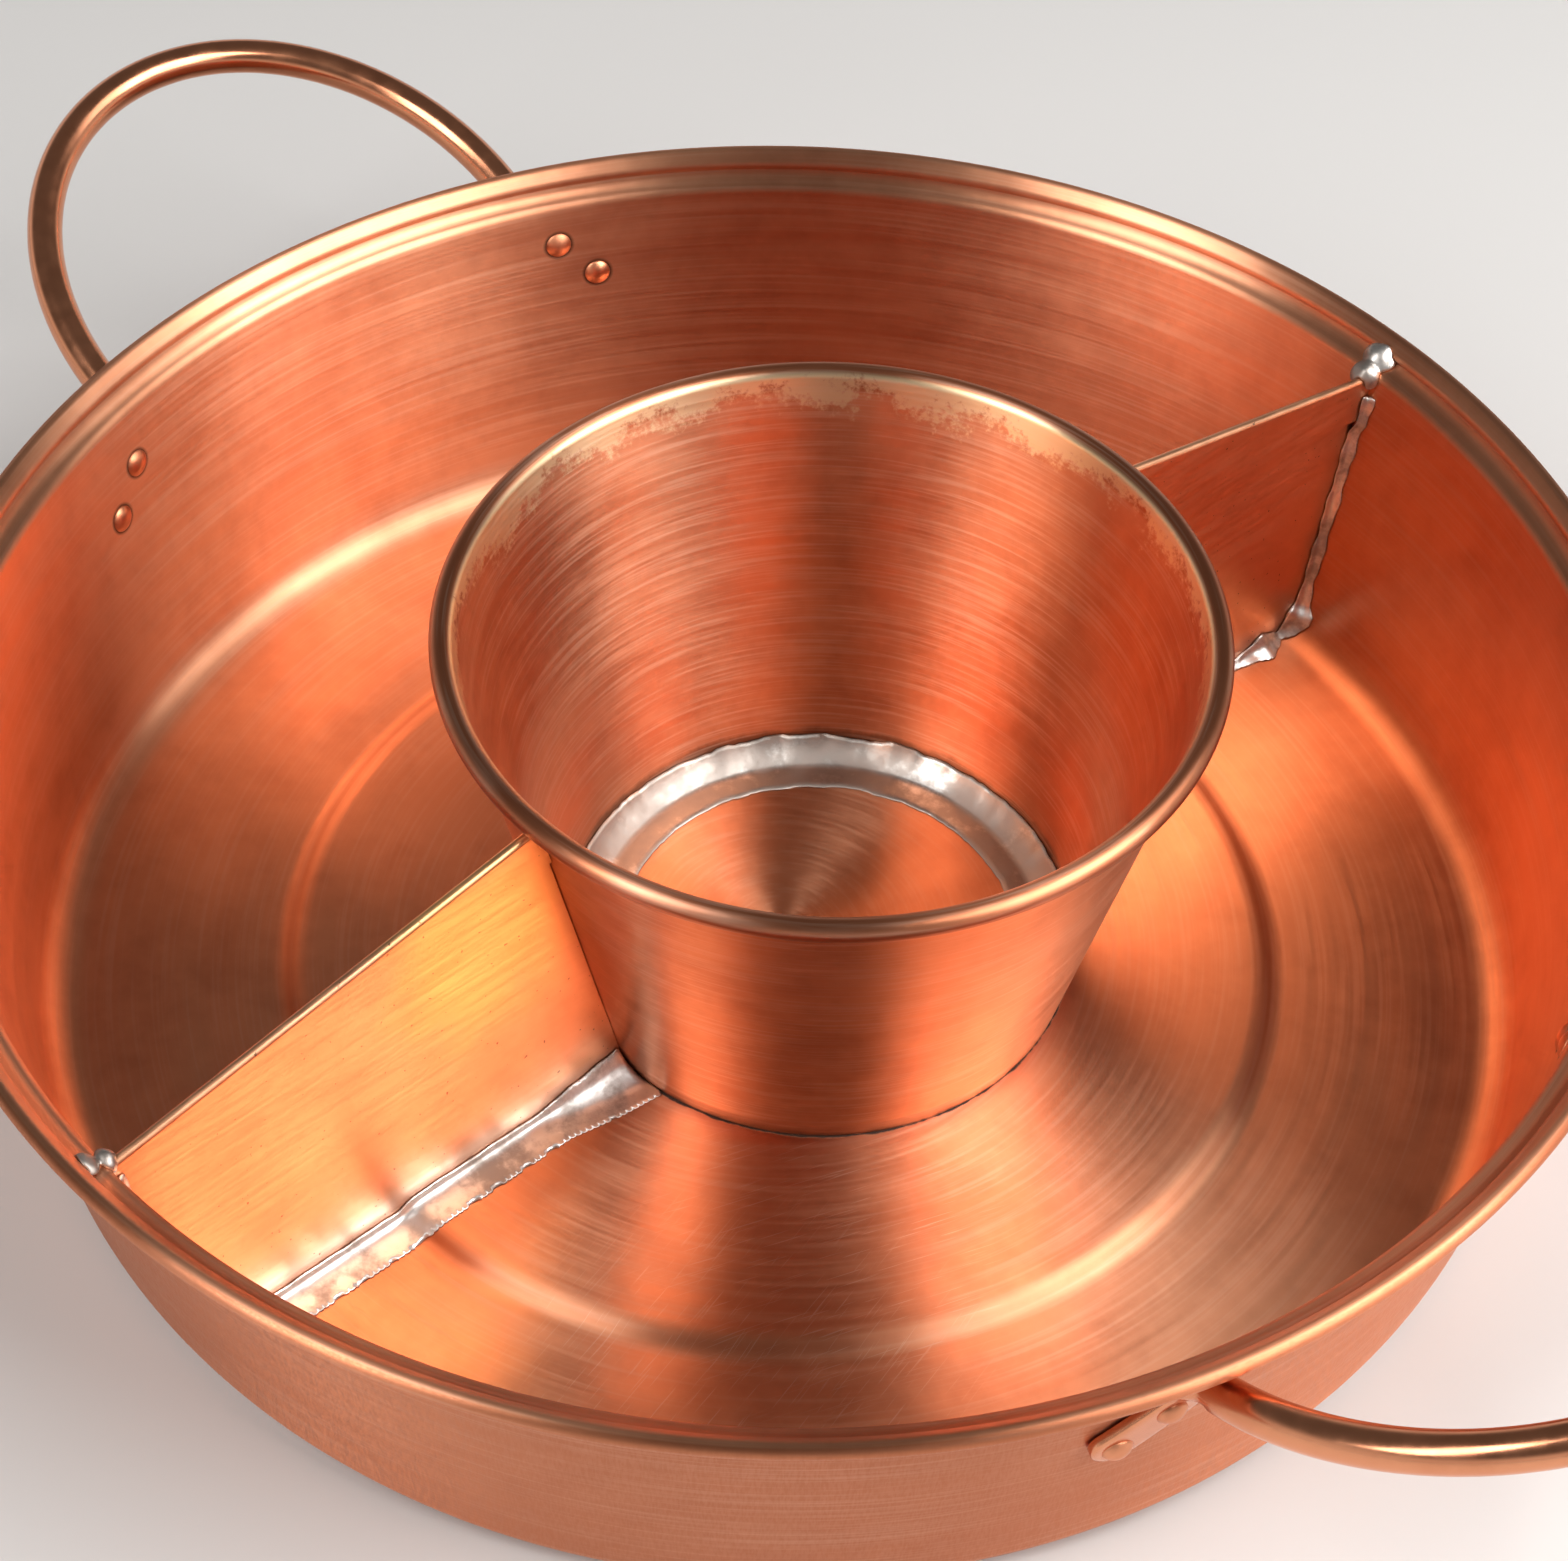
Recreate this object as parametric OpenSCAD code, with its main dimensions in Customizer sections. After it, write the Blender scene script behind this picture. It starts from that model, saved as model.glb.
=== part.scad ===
// Copper hot pot: a shallow round pan split in two by a centre cup and two soldered dividers.
// Millimetres, +Z up. The origin is the middle of the pan's underside, on the table.
// The loop handles lie roughly along X and the dividers along Y.

/* [Pan] */
// Diameter over the rolled rim
rim_d = 340; // [300:1:400]
// Height of the rim's top above the table
rim_h = 76.7; // [64:0.1:100]
// Thickness of the pan's sheet
pan_t = 1.2; // [0.8:0.1:1.8]
// Lean of the wall from upright, in degrees
wall_lean = 8.6; // [4:0.1:12]
// Inside radius of the corner between floor and wall
corner_r = 8.5; // [5:0.1:12]
// Width of the sloping ledge inside the rim
ledge_w = 5.3; // [4.5:0.1:8]
// Height that the ledge gains over its width
ledge_rise = 2.2; // [1:0.1:3]
// Radius of the edge between wall and ledge, on the inside
shoulder_r = 2.5; // [2:0.1:3.5]
// Thickness of the rolled rim
roll_d = 3.2; // [2.6:0.1:5]
// How much wider than thick the rolled rim is
roll_stretch = 2; // [0.5:0.1:4]
// Diameter of the raised disc in the floor
disc_d = 202.5; // [180:0.5:240]
// Height of the disc above the floor around it
disc_rise = 1.6; // [0.8:0.1:3]
// Width of the slope around the disc
disc_slope_w = 4; // [3:0.1:8]

/* [Centre cup] */
// Distance of the cup's axis from the pan's, along X
cup_x = 4.9; // [0:0.1:8]
// Distance of the cup's axis from the pan's, along Y
cup_y = 6.2; // [-8:0.1:8]
// Outside diameter of the cup's foot
cup_foot_d = 104.8; // [90:0.1:120]
// Diameter over the cup's rolled rim
cup_rim_d = 152.4; // [135:0.1:170]
// Height of the cup above the pan's floor
cup_h = 91.4; // [80:0.1:110]
// Thickness of the cup's sheet
cup_t = 1; // [0.7:0.1:1.6]
// Thickness of the cup's rolled rim
cup_roll_d = 4.6; // [3.4:0.1:6]

/* [Dividers] */
// Thickness of the divider plates
divider_t = 0.9; // [0.6:0.1:1.6]
// Thickness of the folded top edge
hem_t = 2.1; // [1.9:0.1:3.4]
// Depth of the folded top edge
hem_h = 11; // [6:0.5:16]
// Drop from the cup's top to the divider's inner end
divider_below_cup = 5.2; // [5:0.1:20]
// Drop from the pan's top to the divider's outer end
divider_below_rim = 6.9; // [6.5:0.1:20]

/* [Handles] */
// Diameter of the handle rod
rod_d = 7.5; // [6:0.1:9]
// Width of a loop between its rod's centre lines
loop_w = 106; // [80:1:130]
// Length of the rounded nose of a loop
nose_l = 62.4; // [45:0.1:70]
// Width of the flattened ends
ear_w = 9.5; // [8:0.1:12]
// Thickness of the flattened ends
ear_t = 2.5; // [1.8:0.1:3.2]
// Slope of the flattened ends, in degrees below level
ear_slope = 45; // [35:1:55]
// Direction of the left handle, in degrees from +X
left_azimuth = 177.9; // [170:0.1:190]
// Rise of the left loop, in degrees
left_tilt = 18; // [8:0.1:35]
// Length of the left loop from the wall to its rod's centre line
left_depth = 77.2; // [70:0.1:90]
// Drop from the rim's top to the left rod's root
left_drop = 12.3; // [11.5:0.1:18]
// Shift of the left handle's ends up on one side and down on the other
left_skew = 1.7; // [0:0.1:2.5]
// Direction of the right handle, in degrees from +X
right_azimuth = 2.5; // [-10:0.1:10]
// Rise of the right loop, in degrees
right_tilt = 26.9; // [8:0.1:35]
// Length of the right loop from the wall to its rod's centre line
right_depth = 79.5; // [70:0.1:90]
// Drop from the rim's top to the right rod's root
right_drop = 13.5; // [11.5:0.1:18]

/* [Rivets] */
// Diameter of the rivet shanks
shank_d = 4; // [3:0.1:4.6]
// Diameter of the rivet heads
head_d = 5.8; // [5.4:0.1:7]
// Height of the inner rivet heads
inner_head_h = 1.1; // [0.8:0.1:2]
// Height of the outer rivet heads
outer_head_h = 1.5; // [0.8:0.1:2.5]
// Distance from the rod's root to the first rivet
first_rivet = 6.9; // [6.5:0.1:9]
// Distance between the two rivets of an end
rivet_pitch = 12.2; // [9:0.1:15]

/* [Solder] */
// Width of the tin ring over the floor inside the cup
ring_w = 10.3; // [7:0.1:16]
// Reach of the ring's thick part over the floor
ring_foot = 4.5; // [3:0.1:6]
// Thickness of the tin ring at its inner edge
ring_edge_t = 0.35; // [0.2:0.05:1]
// Height that the tin ring climbs up the cup's wall
ring_climb = 4.5; // [3:0.1:6]
// Width of the tin band beside the front divider's foot
band_w = 8; // [5:0.1:12]
// Thickness of that band
band_t = 0.35; // [0.2:0.05:0.8]
// Reach of a plain solder seam up the plate and along the pan
seam_leg = 1.8; // [1.2:0.1:3]
// Radius of the larger tin drop on the rim
back_drop_r = 4.4; // [3.5:0.1:6]
// Radius of the smaller tin drop on the rim
front_drop_r = 3.2; // [3:0.1:4.5]

/* [Fits] */
// Gap between pieces that are soldered or riveted together
fit_gap = 0.1; // [0.05:0.01:0.2]

/* [Hidden] */
$fn = 240;
copper = [0.85, 0.42, 0.26];
dark_copper = [0.72, 0.34, 0.21];
tin = [0.72, 0.71, 0.69];
round_fn = 96;
snap_per_mm = 1e4;
corner_steps = 8;
roll_steps = 12;

// Section of the pan: the middle line of its sheet, from the axis to the rim
disc_edge_share = 0.4;
disc_angle = atan(disc_rise / disc_slope_w);
disc_edge_r = disc_edge_share * norm([disc_slope_w, disc_rise]) / tan(disc_angle / 2);
roll_overlap = 0.1;
roll_r = roll_d / 2;
lean_step = roll_stretch / 2 * cos(45);
roll_mid = [rim_d / 2 - roll_r - lean_step, rim_h - roll_r - lean_step];
roll_low = roll_mid - [lean_step, lean_step];
roll_high = roll_mid + [lean_step, lean_step];
ledge_end = roll_low - [0, roll_r - pan_t / 2 + roll_overlap];
shoulder = ledge_end - [ledge_w, ledge_rise];
floor_edge_r = shoulder[0] - (shoulder[1] - pan_t / 2) * tan(wall_lean);
disc_mid_z = disc_rise + pan_t / 2;
disc_z = disc_rise + pan_t;
pan_path = rounded([
    [0, disc_mid_z, 0],
    [disc_d / 2 - disc_slope_w / 2, disc_mid_z, disc_edge_r],
    [disc_d / 2 + disc_slope_w / 2, pan_t / 2, disc_edge_r],
    [floor_edge_r, pan_t / 2, corner_r + pan_t / 2],
    [shoulder[0], shoulder[1], shoulder_r - pan_t / 2],
    [ledge_end[0], ledge_end[1], 0]
]);
above = rim_h + cup_h;

// Section of the cup
cup_roll_r = cup_roll_d / 2;
cup_top = disc_z + cup_h;
cup_roll_mid = [cup_rim_d / 2 - cup_roll_r, cup_top - cup_roll_r];
cup_foot = [cup_foot_d / 2 - cup_t / 2, disc_z + fit_gap + cup_t / 4];
cup_neck = cup_roll_mid - [cup_roll_r - cup_t / 2 - roll_overlap, 0];
cup_lean = atan((cup_neck[0] - cup_foot[0]) / (cup_neck[1] - cup_foot[1]));

// Dividers: both lie in one plane through the cup's axis
plate_face = cup_x + divider_t / 2;
plate_back = cup_x - divider_t / 2;

// Solder
seam_step = 1.2;
seam_clear = 2.5;
seam_skin = 0.3;
seam_ripple = [55, 24];
cup_end_gap = 0.4;
hollow_share = 0.4;
drop_hold = 0.7;
small_share = 0.75;
drop_fn = 160;

// Handles, as [azimuth, tilt, depth, drop, skew]
left_loop = [left_azimuth, left_tilt, left_depth, left_drop, left_skew];
right_loop = [right_azimuth, right_tilt, right_depth, right_drop, 0];
ear_l = first_rivet + rivet_pitch + ear_w / 2;
bend_l = 6.5;
ear_from = 3.4;
thin_power = 0.5;
rod_sides = 16;
nose_steps = 18;
bend_steps = 7;
ear_steps = 6;
tip_steps = 4;

rivet_names = [
    for (handle = ["left", "right"])
        for (end = ["front", "back"])
            for (place = ["upper", "lower"])
                str(handle, "_", end, "_", place, "_rivet")
];

function unit(v) = v / norm(v);
function turned(v, a) = [v[0] * cos(a) - v[1] * sin(a), v[0] * sin(a) + v[1] * cos(a)];
function mix(a, b, t) = a * (1 - t) + b * t;

// A corner of an outline as an arc: the points between the two tangent points
function corner_arc(before, here, after, r) =
    let (
        p = [here[0], here[1]],
        u = unit([before[0], before[1]] - p),
        v = unit([after[0], after[1]] - p),
        half = acos(u * v) / 2,
        middle = p + unit(u + v) * r / sin(half),
        start = p + u * r / tan(half) - middle,
        sense = u[0] * v[1] - u[1] * v[0] > 0 ? -1 : 1,
        sweep = sense * (180 - 2 * half)
    )
    [for (i = [0:corner_steps]) middle + turned(start, sweep * i / corner_steps)];

// An outline through [x, y, radius] points, with its corners rounded
function rounded(points) = [
    for (i = [0:len(points) - 1])
        each points[i][2] == 0
            ? [[points[i][0], points[i][1]]]
            : corner_arc(points[i - 1], points[i], points[i + 1], points[i][2])
];

// Unit normal of a path at a point, on the side of the pan's inside
function path_normal(path, i) =
    let (
        a = path[max(i - 1, 0)],
        b = path[min(i + 1, len(path) - 1)],
        along = unit(b - a)
    )
    [-along[1], along[0]];
function shifted(path, d) = [for (i = [0:len(path) - 1]) snapped(path[i] + d * path_normal(path, i))];

// A point on a fine grid, so that level stretches stay exactly level
function snapped(p) = [round(p[0] * snap_per_mm) / snap_per_mm, round(p[1] * snap_per_mm) / snap_per_mm];
function sheet(path, t) = concat(shifted(path, t / 2), reversed(shifted(path, -t / 2)));
function reversed(list) = [for (i = [len(list) - 1:-1:0]) list[i]];

// The wall's middle radius at a height, its outward normal and a point at height h over its middle
function wall_r(z) = floor_edge_r + (z - pan_t / 2) * tan(wall_lean);
function wall_normal(az) = [cos(wall_lean) * cos(az), cos(wall_lean) * sin(az), -sin(wall_lean)];
function wall_point(az, z, h) = [wall_r(z) * cos(az), wall_r(z) * sin(az), z] + h * wall_normal(az);

// Root of a handle's rod on the wall's outside, measured from the handle's own direction
function root_z(loop) = rim_h - loop[3];
function root_s(loop) = loop_w / 2 * sin(root_angle(loop));
function root_angle(loop) = acos(-(loop[2] - nose_l) / nose_l);
function root_az(loop) = asin(root_s(loop) / wall_r(root_z(loop)));

// Place on the wall at distance d down a flattened end, as [azimuth, z]; side is 1 or -1
function ear_place(loop, side, d) =
    let (z0 = root_z(loop) - side * loop[4])
    [
        side * (root_az(loop) + d * cos(ear_slope) / wall_r(z0) * 180 / PI),
        z0 - d * sin(ear_slope) * cos(wall_lean)
    ];
function ear_point(loop, side, d, h) =
    let (place = ear_place(loop, side, d))
    wall_point(place[0], place[1], pan_t / 2 + fit_gap + h);
function ear_up(loop, side, d) = wall_normal(ear_place(loop, side, d)[0]);

// Point of a loop's centre line at an angle round its nose
function loop_point(loop, side, a) =
    let (
        w = loop[2] - nose_l + nose_l * cos(a),
        rad0 = sqrt(pow(wall_r(root_z(loop)) + pan_t / 2, 2) - pow(root_s(loop), 2)),
        z0 = root_z(loop)
    )
    [rad0 + w * cos(loop[1]), side * loop_w / 2 * sin(a), z0 + w * sin(loop[1])];

// Angle round the nose at which the rod leaves the loop's outline for the wall
function bend_angle(loop) = acos((bend_l - loop[2] + nose_l) / nose_l);

// Stations of half a handle, from the nose to one end, as [point, half width, half thickness, flatness, up]
function half_handle(loop, side) =
    let (
        start = loop_point(loop, side, bend_angle(loop)),
        root = ear_point(loop, side, 0, ear_t / 2),
        stop = ear_point(loop, side, ear_from, ear_t / 2),
        down = unit(stop - root),
        outward = ear_up(loop, side, ear_from),
        last = ear_l - ear_w / 2
    )
    concat(
        [for (i = [0:nose_steps - 1])
            [loop_point(loop, side, bend_angle(loop) * i / nose_steps), rod_d / 2, rod_d / 2, 0, down]],
        [for (i = [0:bend_steps - 1])
            let (t = i / bend_steps)
            [
                mix(mix(start, root, t), mix(root, stop, t), t),
                mix(rod_d, ear_w, t) / 2,
                mix(rod_d, ear_t, pow(t, thin_power)) / 2,
                t,
                unit(mix(down, outward, t))
            ]],
        [for (i = [0:ear_steps])
            let (d = mix(ear_from, last, i / ear_steps))
            [ear_point(loop, side, d, ear_t / 2), ear_w / 2, ear_t / 2, 1, ear_up(loop, side, d)]],
        [for (i = [1:tip_steps])
            let (
                a = 80 * i / tip_steps,
                d = last + ear_w / 2 * sin(a)
            )
            [ear_point(loop, side, d, ear_t / 2), ear_w / 2 * cos(a), ear_t / 2, 1, ear_up(loop, side, d)]]
    );

// One ring of points round a station
function bent(v, p) = sign(v) * pow(abs(v), p);
function ring(stations, i, side) =
    let (
        s = stations[i],
        ahead = stations[min(i + 1, len(stations) - 1)][0],
        behind = stations[max(i - 1, 0)][0],
        along = i == 0 ? [0, side, 0] : unit(ahead - behind),
        up = unit(s[4] - (s[4] * along) * along),
        across = side * cross(along, up),
        p = mix(1, 0.4, s[3])
    )
    [for (k = [0:rod_sides - 1])
        let (a = 360 * k / rod_sides)
        s[0] + s[1] * bent(cos(a), p) * across + s[2] * bent(sin(a), p) * up];

module tube(rings) {
    n = len(rings[0]);
    last = len(rings) - 1;
    polyhedron(
        points = [for (r = rings) each r],
        faces = concat(
            [for (k = [1:n - 2]) [0, k, k + 1]],
            [for (i = [0:last - 1])
                for (k = [0:n - 1])
                    each [
                        [i * n + k, (i + 1) * n + k, (i + 1) * n + (k + 1) % n],
                        [i * n + k, (i + 1) * n + (k + 1) % n, i * n + (k + 1) % n]
                    ]],
            [for (k = [1:n - 2]) [last * n, last * n + k + 1, last * n + k]]
        )
    );
}

// The rolled rim's section: a flat-sided oval that leans up and outwards
module roll_section(grow) {
    translate(roll_mid) rotate(45) polygon([
        for (side = [1, -1])
            for (i = [0:roll_steps])
                [side * roll_stretch / 2, 0] + turned([roll_r + grow, 0], side * 90 - 180 * (1 - i / roll_steps))
    ]);
}

// The room inside the pan and above its rim
module pan_room() {
    inner = shifted(pan_path, pan_t / 2 + fit_gap);
    end_z = inner[len(inner) - 1][1];
    rotate_extrude() difference() {
        polygon(concat([[0, inner[0][1]]], inner, [
            [roll_mid[0], end_z], roll_mid, roll_high, [roll_high[0], above], [0, above]
        ]));
        roll_section(fit_gap);
    }
}

// The cup as a filled solid, to cut what stands against it
module cup_filled() {
    outer = shifted([cup_foot, cup_neck], -cup_t / 2 - fit_gap);
    translate([cup_x, cup_y, 0]) {
        rotate_extrude() polygon([[0, 0], [outer[0][0], 0], outer[0], outer[1], [outer[1][0], above], [0, above]]);
        rotate_extrude() translate(cup_roll_mid) circle(r = cup_roll_r + fit_gap, $fn = round_fn);
    }
}

module pan_body() {
    color(copper) difference() {
        union() {
            rotate_extrude() polygon(sheet(pan_path, pan_t));
            rotate_extrude() roll_section(0);
        }
        all_rivet_holes();
    }
}

module centre_cup() {
    color(copper) translate([cup_x, cup_y, 0]) {
        rotate_extrude() polygon(sheet([cup_foot, cup_neck], cup_t));
        rotate_extrude() translate(cup_roll_mid) circle(r = cup_roll_r, $fn = round_fn);
    }
}

// A divider runs from the cup to the wall: side is -1 for the front and 1 for the back
function divider_ends(side) =
    let (
        cup_z = cup_top - divider_below_cup,
        wall_z = rim_h - divider_below_rim,
        cup_r = cup_foot[0] + (cup_z - cup_foot[1]) * tan(cup_lean),
        wall_y = sqrt(pow(wall_r(wall_z), 2) - pow(cup_x, 2))
    )
    [[cup_y + side * cup_r, cup_z], [side * wall_y, wall_z]];

module divider(side) {
    color(copper) difference() {
        intersection() {
            divider_blank(side, 0);
            pan_room();
        }
        cup_filled();
    }
}

// The plate before it is cut to its outline. Its top edge is folded over to a rounded hem.
module divider_blank(side, grow) {
    ends = divider_ends(side);
    run = ends[1] - ends[0];
    tilt = atan2(run[1], abs(run[0]));
    reach = norm(run) + cup_foot_d / 2;
    hem_r = hem_t / 2;
    translate([plate_back, ends[1][0], ends[1][1]]) rotate([side * tilt, 0, 0]) {
        slab(0, divider_t, reach, -above, -hem_r, grow);
        slab(0, hem_t, reach, -hem_h, -hem_r, grow);
        translate([hem_r, -reach, -hem_r]) rotate([-90, 0, 0])
            cylinder(r = hem_r + grow, h = 2 * reach, $fn = round_fn);
    }
}

module slab(x0, x1, reach, z0, z1, grow) {
    translate([x0 - grow, -reach, z0]) cube([x1 - x0 + 2 * grow, 2 * reach, z1 - z0]);
}

// Handles
module handle(loop) {
    sides = [half_handle(loop, -1), half_handle(loop, 1)];
    color(copper) rotate([0, 0, loop[0]]) difference() {
        tube(concat(
            [for (i = [len(sides[0]) - 1:-1:1]) ring(sides[0], i, -1)],
            [for (i = [0:len(sides[1]) - 1]) ring(sides[1], i, 1)]
        ));
        rivet_holes(loop);
    }
}

module at_rivet(loop, side, d) {
    place = ear_place(loop, side, d);
    rotate([0, 0, place[0]]) translate([wall_r(place[1]), 0, place[1]]) rotate([0, 90 + wall_lean, 0]) children();
}

module rivet_holes(loop) {
    for (side = [-1, 1])
        for (d = [first_rivet, first_rivet + rivet_pitch])
            at_rivet(loop, side, d)
                translate([0, 0, -head_d]) cylinder(d = shank_d + 2 * fit_gap, h = 2 * head_d, $fn = round_fn);
}

module all_rivet_holes() {
    for (loop = [left_loop, right_loop])
        rotate([0, 0, loop[0]]) rivet_holes(loop);
}

// A domed head that stands on z = 0
module rivet_head(h) {
    dome_r = (pow(head_d / 2, 2) + h * h) / (2 * h);
    rotate_extrude($fn = round_fn) intersection() {
        translate([0, h - dome_r]) circle(r = dome_r, $fn = 2 * round_fn);
        square([head_d, h]);
    }
}

module rivet(loop, side, d) {
    seat = pan_t / 2 + fit_gap;
    color(dark_copper) rotate([0, 0, loop[0]]) at_rivet(loop, side, d) {
        translate([0, 0, seat + ear_t + fit_gap]) rivet_head(outer_head_h);
        translate([0, 0, -seat]) cylinder(d = shank_d, h = 2 * seat + ear_t + fit_gap, $fn = round_fn);
        translate([0, 0, -seat]) rotate([180, 0, 0]) rivet_head(inner_head_h);
    }
}

// Solder
module cup_ring_solder() {
    wall = shifted([cup_foot, cup_neck], cup_t / 2 + fit_gap);
    bed_z = disc_z + fit_gap;
    root = [wall[0][0] - (wall[0][1] - bed_z) * tan(cup_lean), bed_z];
    climb = root + ring_climb * [sin(cup_lean), cos(cup_lean)];
    foot = root - [ring_foot, 0];
    hollow = root + hollow_share * (foot + climb - 2 * root);
    edge = root - [ring_w, 0];
    color(tin) translate([cup_x, cup_y, 0]) rotate_extrude() polygon([
        edge, root, climb, climb - [ring_edge_t, 0], hollow, foot + [0, ring_edge_t], edge + [0, ring_edge_t]
    ]);
}

// The pan's inside section as [distance along it, point, normal], from the axis outwards
function run_lengths(path) = [
    for (i = 0, s = 0; i < len(path); s = s + (i + 1 < len(path) ? norm(path[i + 1] - path[i]) : 0), i = i + 1)
        [s, path[i], path_normal(path, i)]
];
inside_run = run_lengths(shifted(pan_path, pan_t / 2));
function run_at(s) =
    let (
        i = max([for (k = [0:len(inside_run) - 2]) if (inside_run[k][0] <= s) k]),
        t = (s - inside_run[i][0]) / (inside_run[i + 1][0] - inside_run[i][0])
    )
    [mix(inside_run[i][1], inside_run[i + 1][1], t), unit(mix(inside_run[i][2], inside_run[i + 1][2], t))];

// Stages of a seam along that section: clear of the cup, the corner's start and end, below the rim
shoulder_at = len(pan_path) - corner_steps - 2;
corner_at = shoulder_at - corner_steps - 1;
function seam_place(side, drop_r, u) = lookup(u, [
    [0, side * cup_y + cup_foot_d / 2 + seam_clear],
    [1, inside_run[corner_at][0]],
    [2, inside_run[corner_at + corner_steps][0]],
    [3, inside_run[shoulder_at][0] - (drop_r * drop_hold + divider_below_rim - rim_h + shoulder[1])]
]);

// Where a seam starts beside the plate: further out where the plate is folded double
function seam_x(z) =
    let (hem_low = rim_h - divider_below_rim - hem_h - seam_skin)
    plate_face + fit_gap + (hem_t - divider_t) * min(max((z - hem_low) / hem_t + 1, 0), 1);

// A point of the solder at distance s along the pan's section, q[0] off the plate and q[1] off the pan
function seam_point(s, q) =
    let (
        at = run_at(s),
        p = at[0] + (fit_gap + q[1]) * at[1],
        x = seam_x(p[1]) + q[0]
    )
    [x, -sqrt(p[0] * p[0] - x * x), p[1]];

// A point of the solder against the cup's outside
function cup_side_point(side, q) =
    let (
        z = disc_z + fit_gap + q[1],
        r = cup_foot[0] + cup_t / 2 / cos(cup_lean) + cup_end_gap + (z - cup_foot[1]) * tan(cup_lean),
        x = seam_x(z) + q[0]
    )
    [x, -side * cup_y - sqrt(r * r - pow(x - cup_x, 2)), z];

function seam_section(out, up, band) = [
    [0, 0], [0, up], [seam_skin, up], hollow_share * [out, up], [out, band_t], [band, band_t / 2], [band, 0]
];

// Something made for the front, mirrored for the back
module on_side(side) {
    if (side < 0)
        children();
    else
        mirror([0, 1, 0]) children();
}

// A seam in the corner between a plate and the pan. Its tables run over the stages 0 to 3: up and out are
// shares of seam_leg, and band is a share of band_w.
module seam(side, drop_r, up, out, band, lump) {
    start = seam_place(side, drop_r, 0);
    stop = seam_place(side, drop_r, 3);
    steps = ceil((stop - start) / seam_step);
    stages = [for (k = [0:3]) [seam_place(side, drop_r, k), k]];
    function section(i) =
        let (
            s = mix(start, stop, i / steps),
            u = lookup(s, stages),
            wave = 1 + lump * (sin(s * seam_ripple[0]) + sin(s * seam_ripple[1])) / 2,
            x = seam_leg * lookup(u, out) * wave,
            y = seam_leg * lookup(u, up) * wave
        )
        seam_section(x, y, max(x + seam_skin, band_w * lookup(u, band) * wave));
    color(tin) on_side(side) tube(concat(
        [[for (q = section(0)) cup_side_point(side, q)]],
        [for (i = [0:steps]) [for (q = section(i)) seam_point(mix(start, stop, i / steps), q)]]
    ));
}

module front_seam_solder() {
    seam(
        -1,
        front_drop_r,
        up = [[0, 3.6], [0.08, 3], [0.2, 1.3], [1, 1.3], [1.5, 1], [3, 1]],
        out = [[0, 3.6], [0.08, 3], [0.2, 1.3], [1, 1.3], [1.5, 1], [3, 1]],
        band = [[0, 1.4], [0.1, 1.25], [0.2, 1], [1, 1], [1.4, 0]],
        lump = 0.08
    );
}

module back_seam_solder() {
    seam(
        1,
        back_drop_r,
        up = [[0, 1], [0.85, 1], [0.95, 2.2], [1.1, 0.5], [1.4, 2.4], [1.8, 2.2], [2.1, 1.1], [3, 1.1]],
        out = [[0, 1], [0.85, 1], [0.95, 2.2], [1.1, 0.5], [1.4, 2.4], [1.8, 2.2], [2.1, 1.1], [3, 1.1]],
        band = [[0, 0], [3, 0]],
        lump = 0.2
    );
}

// A drop of tin over a divider's outer end, on the ledge and against the roll
module rim_drop(side, r) {
    end = divider_ends(side)[1];
    cut_z = end[1] - r * drop_hold + seam_leg * 2 * sin(wall_lean);
    color(tin) difference() {
        intersection() {
            union() {
                translate([cup_x, side * (ledge_end[0] - ledge_w / 3), ledge_end[1] - r / 3])
                    sphere(r = r, $fn = drop_fn);
                translate([cup_x, end[0] - side * r / 4, end[1]]) sphere(r = r * small_share, $fn = drop_fn);
            }
            pan_room();
            translate([-rim_d, -rim_d, cut_z]) cube([2 * rim_d, 2 * rim_d, above]);
        }
        divider_blank(side, fit_gap);
    }
}

module front_rim_solder() {
    rim_drop(-1, front_drop_r);
}

module back_rim_solder() {
    rim_drop(1, back_drop_r);
}

pan_body();
centre_cup();
divider(-1);  // front_divider
divider(1);  // back_divider
handle(left_loop);  // left_handle
handle(right_loop);  // right_handle
cup_ring_solder();
front_seam_solder();
back_seam_solder();
front_rim_solder();
back_rim_solder();
for (handle = ["left", "right"])
    for (end = ["front", "back"])
        for (place = ["upper", "lower"])
            rivet(
                    handle == "left" ? left_loop : right_loop,
                    (handle == "left") == (end == "front") ? 1 : -1,
                    place == "upper" ? first_rivet : first_rivet + rivet_pitch
                );
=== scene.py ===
"""Dress the copper hot pot: smooth spun sheets, bent rods, cast tin and brushed metal finishes."""

import math

import bmesh
import bpy
from bpy.props import FloatProperty, FloatVectorProperty, IntProperty, PointerProperty
from mathutils import Matrix, Vector, noise


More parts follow.
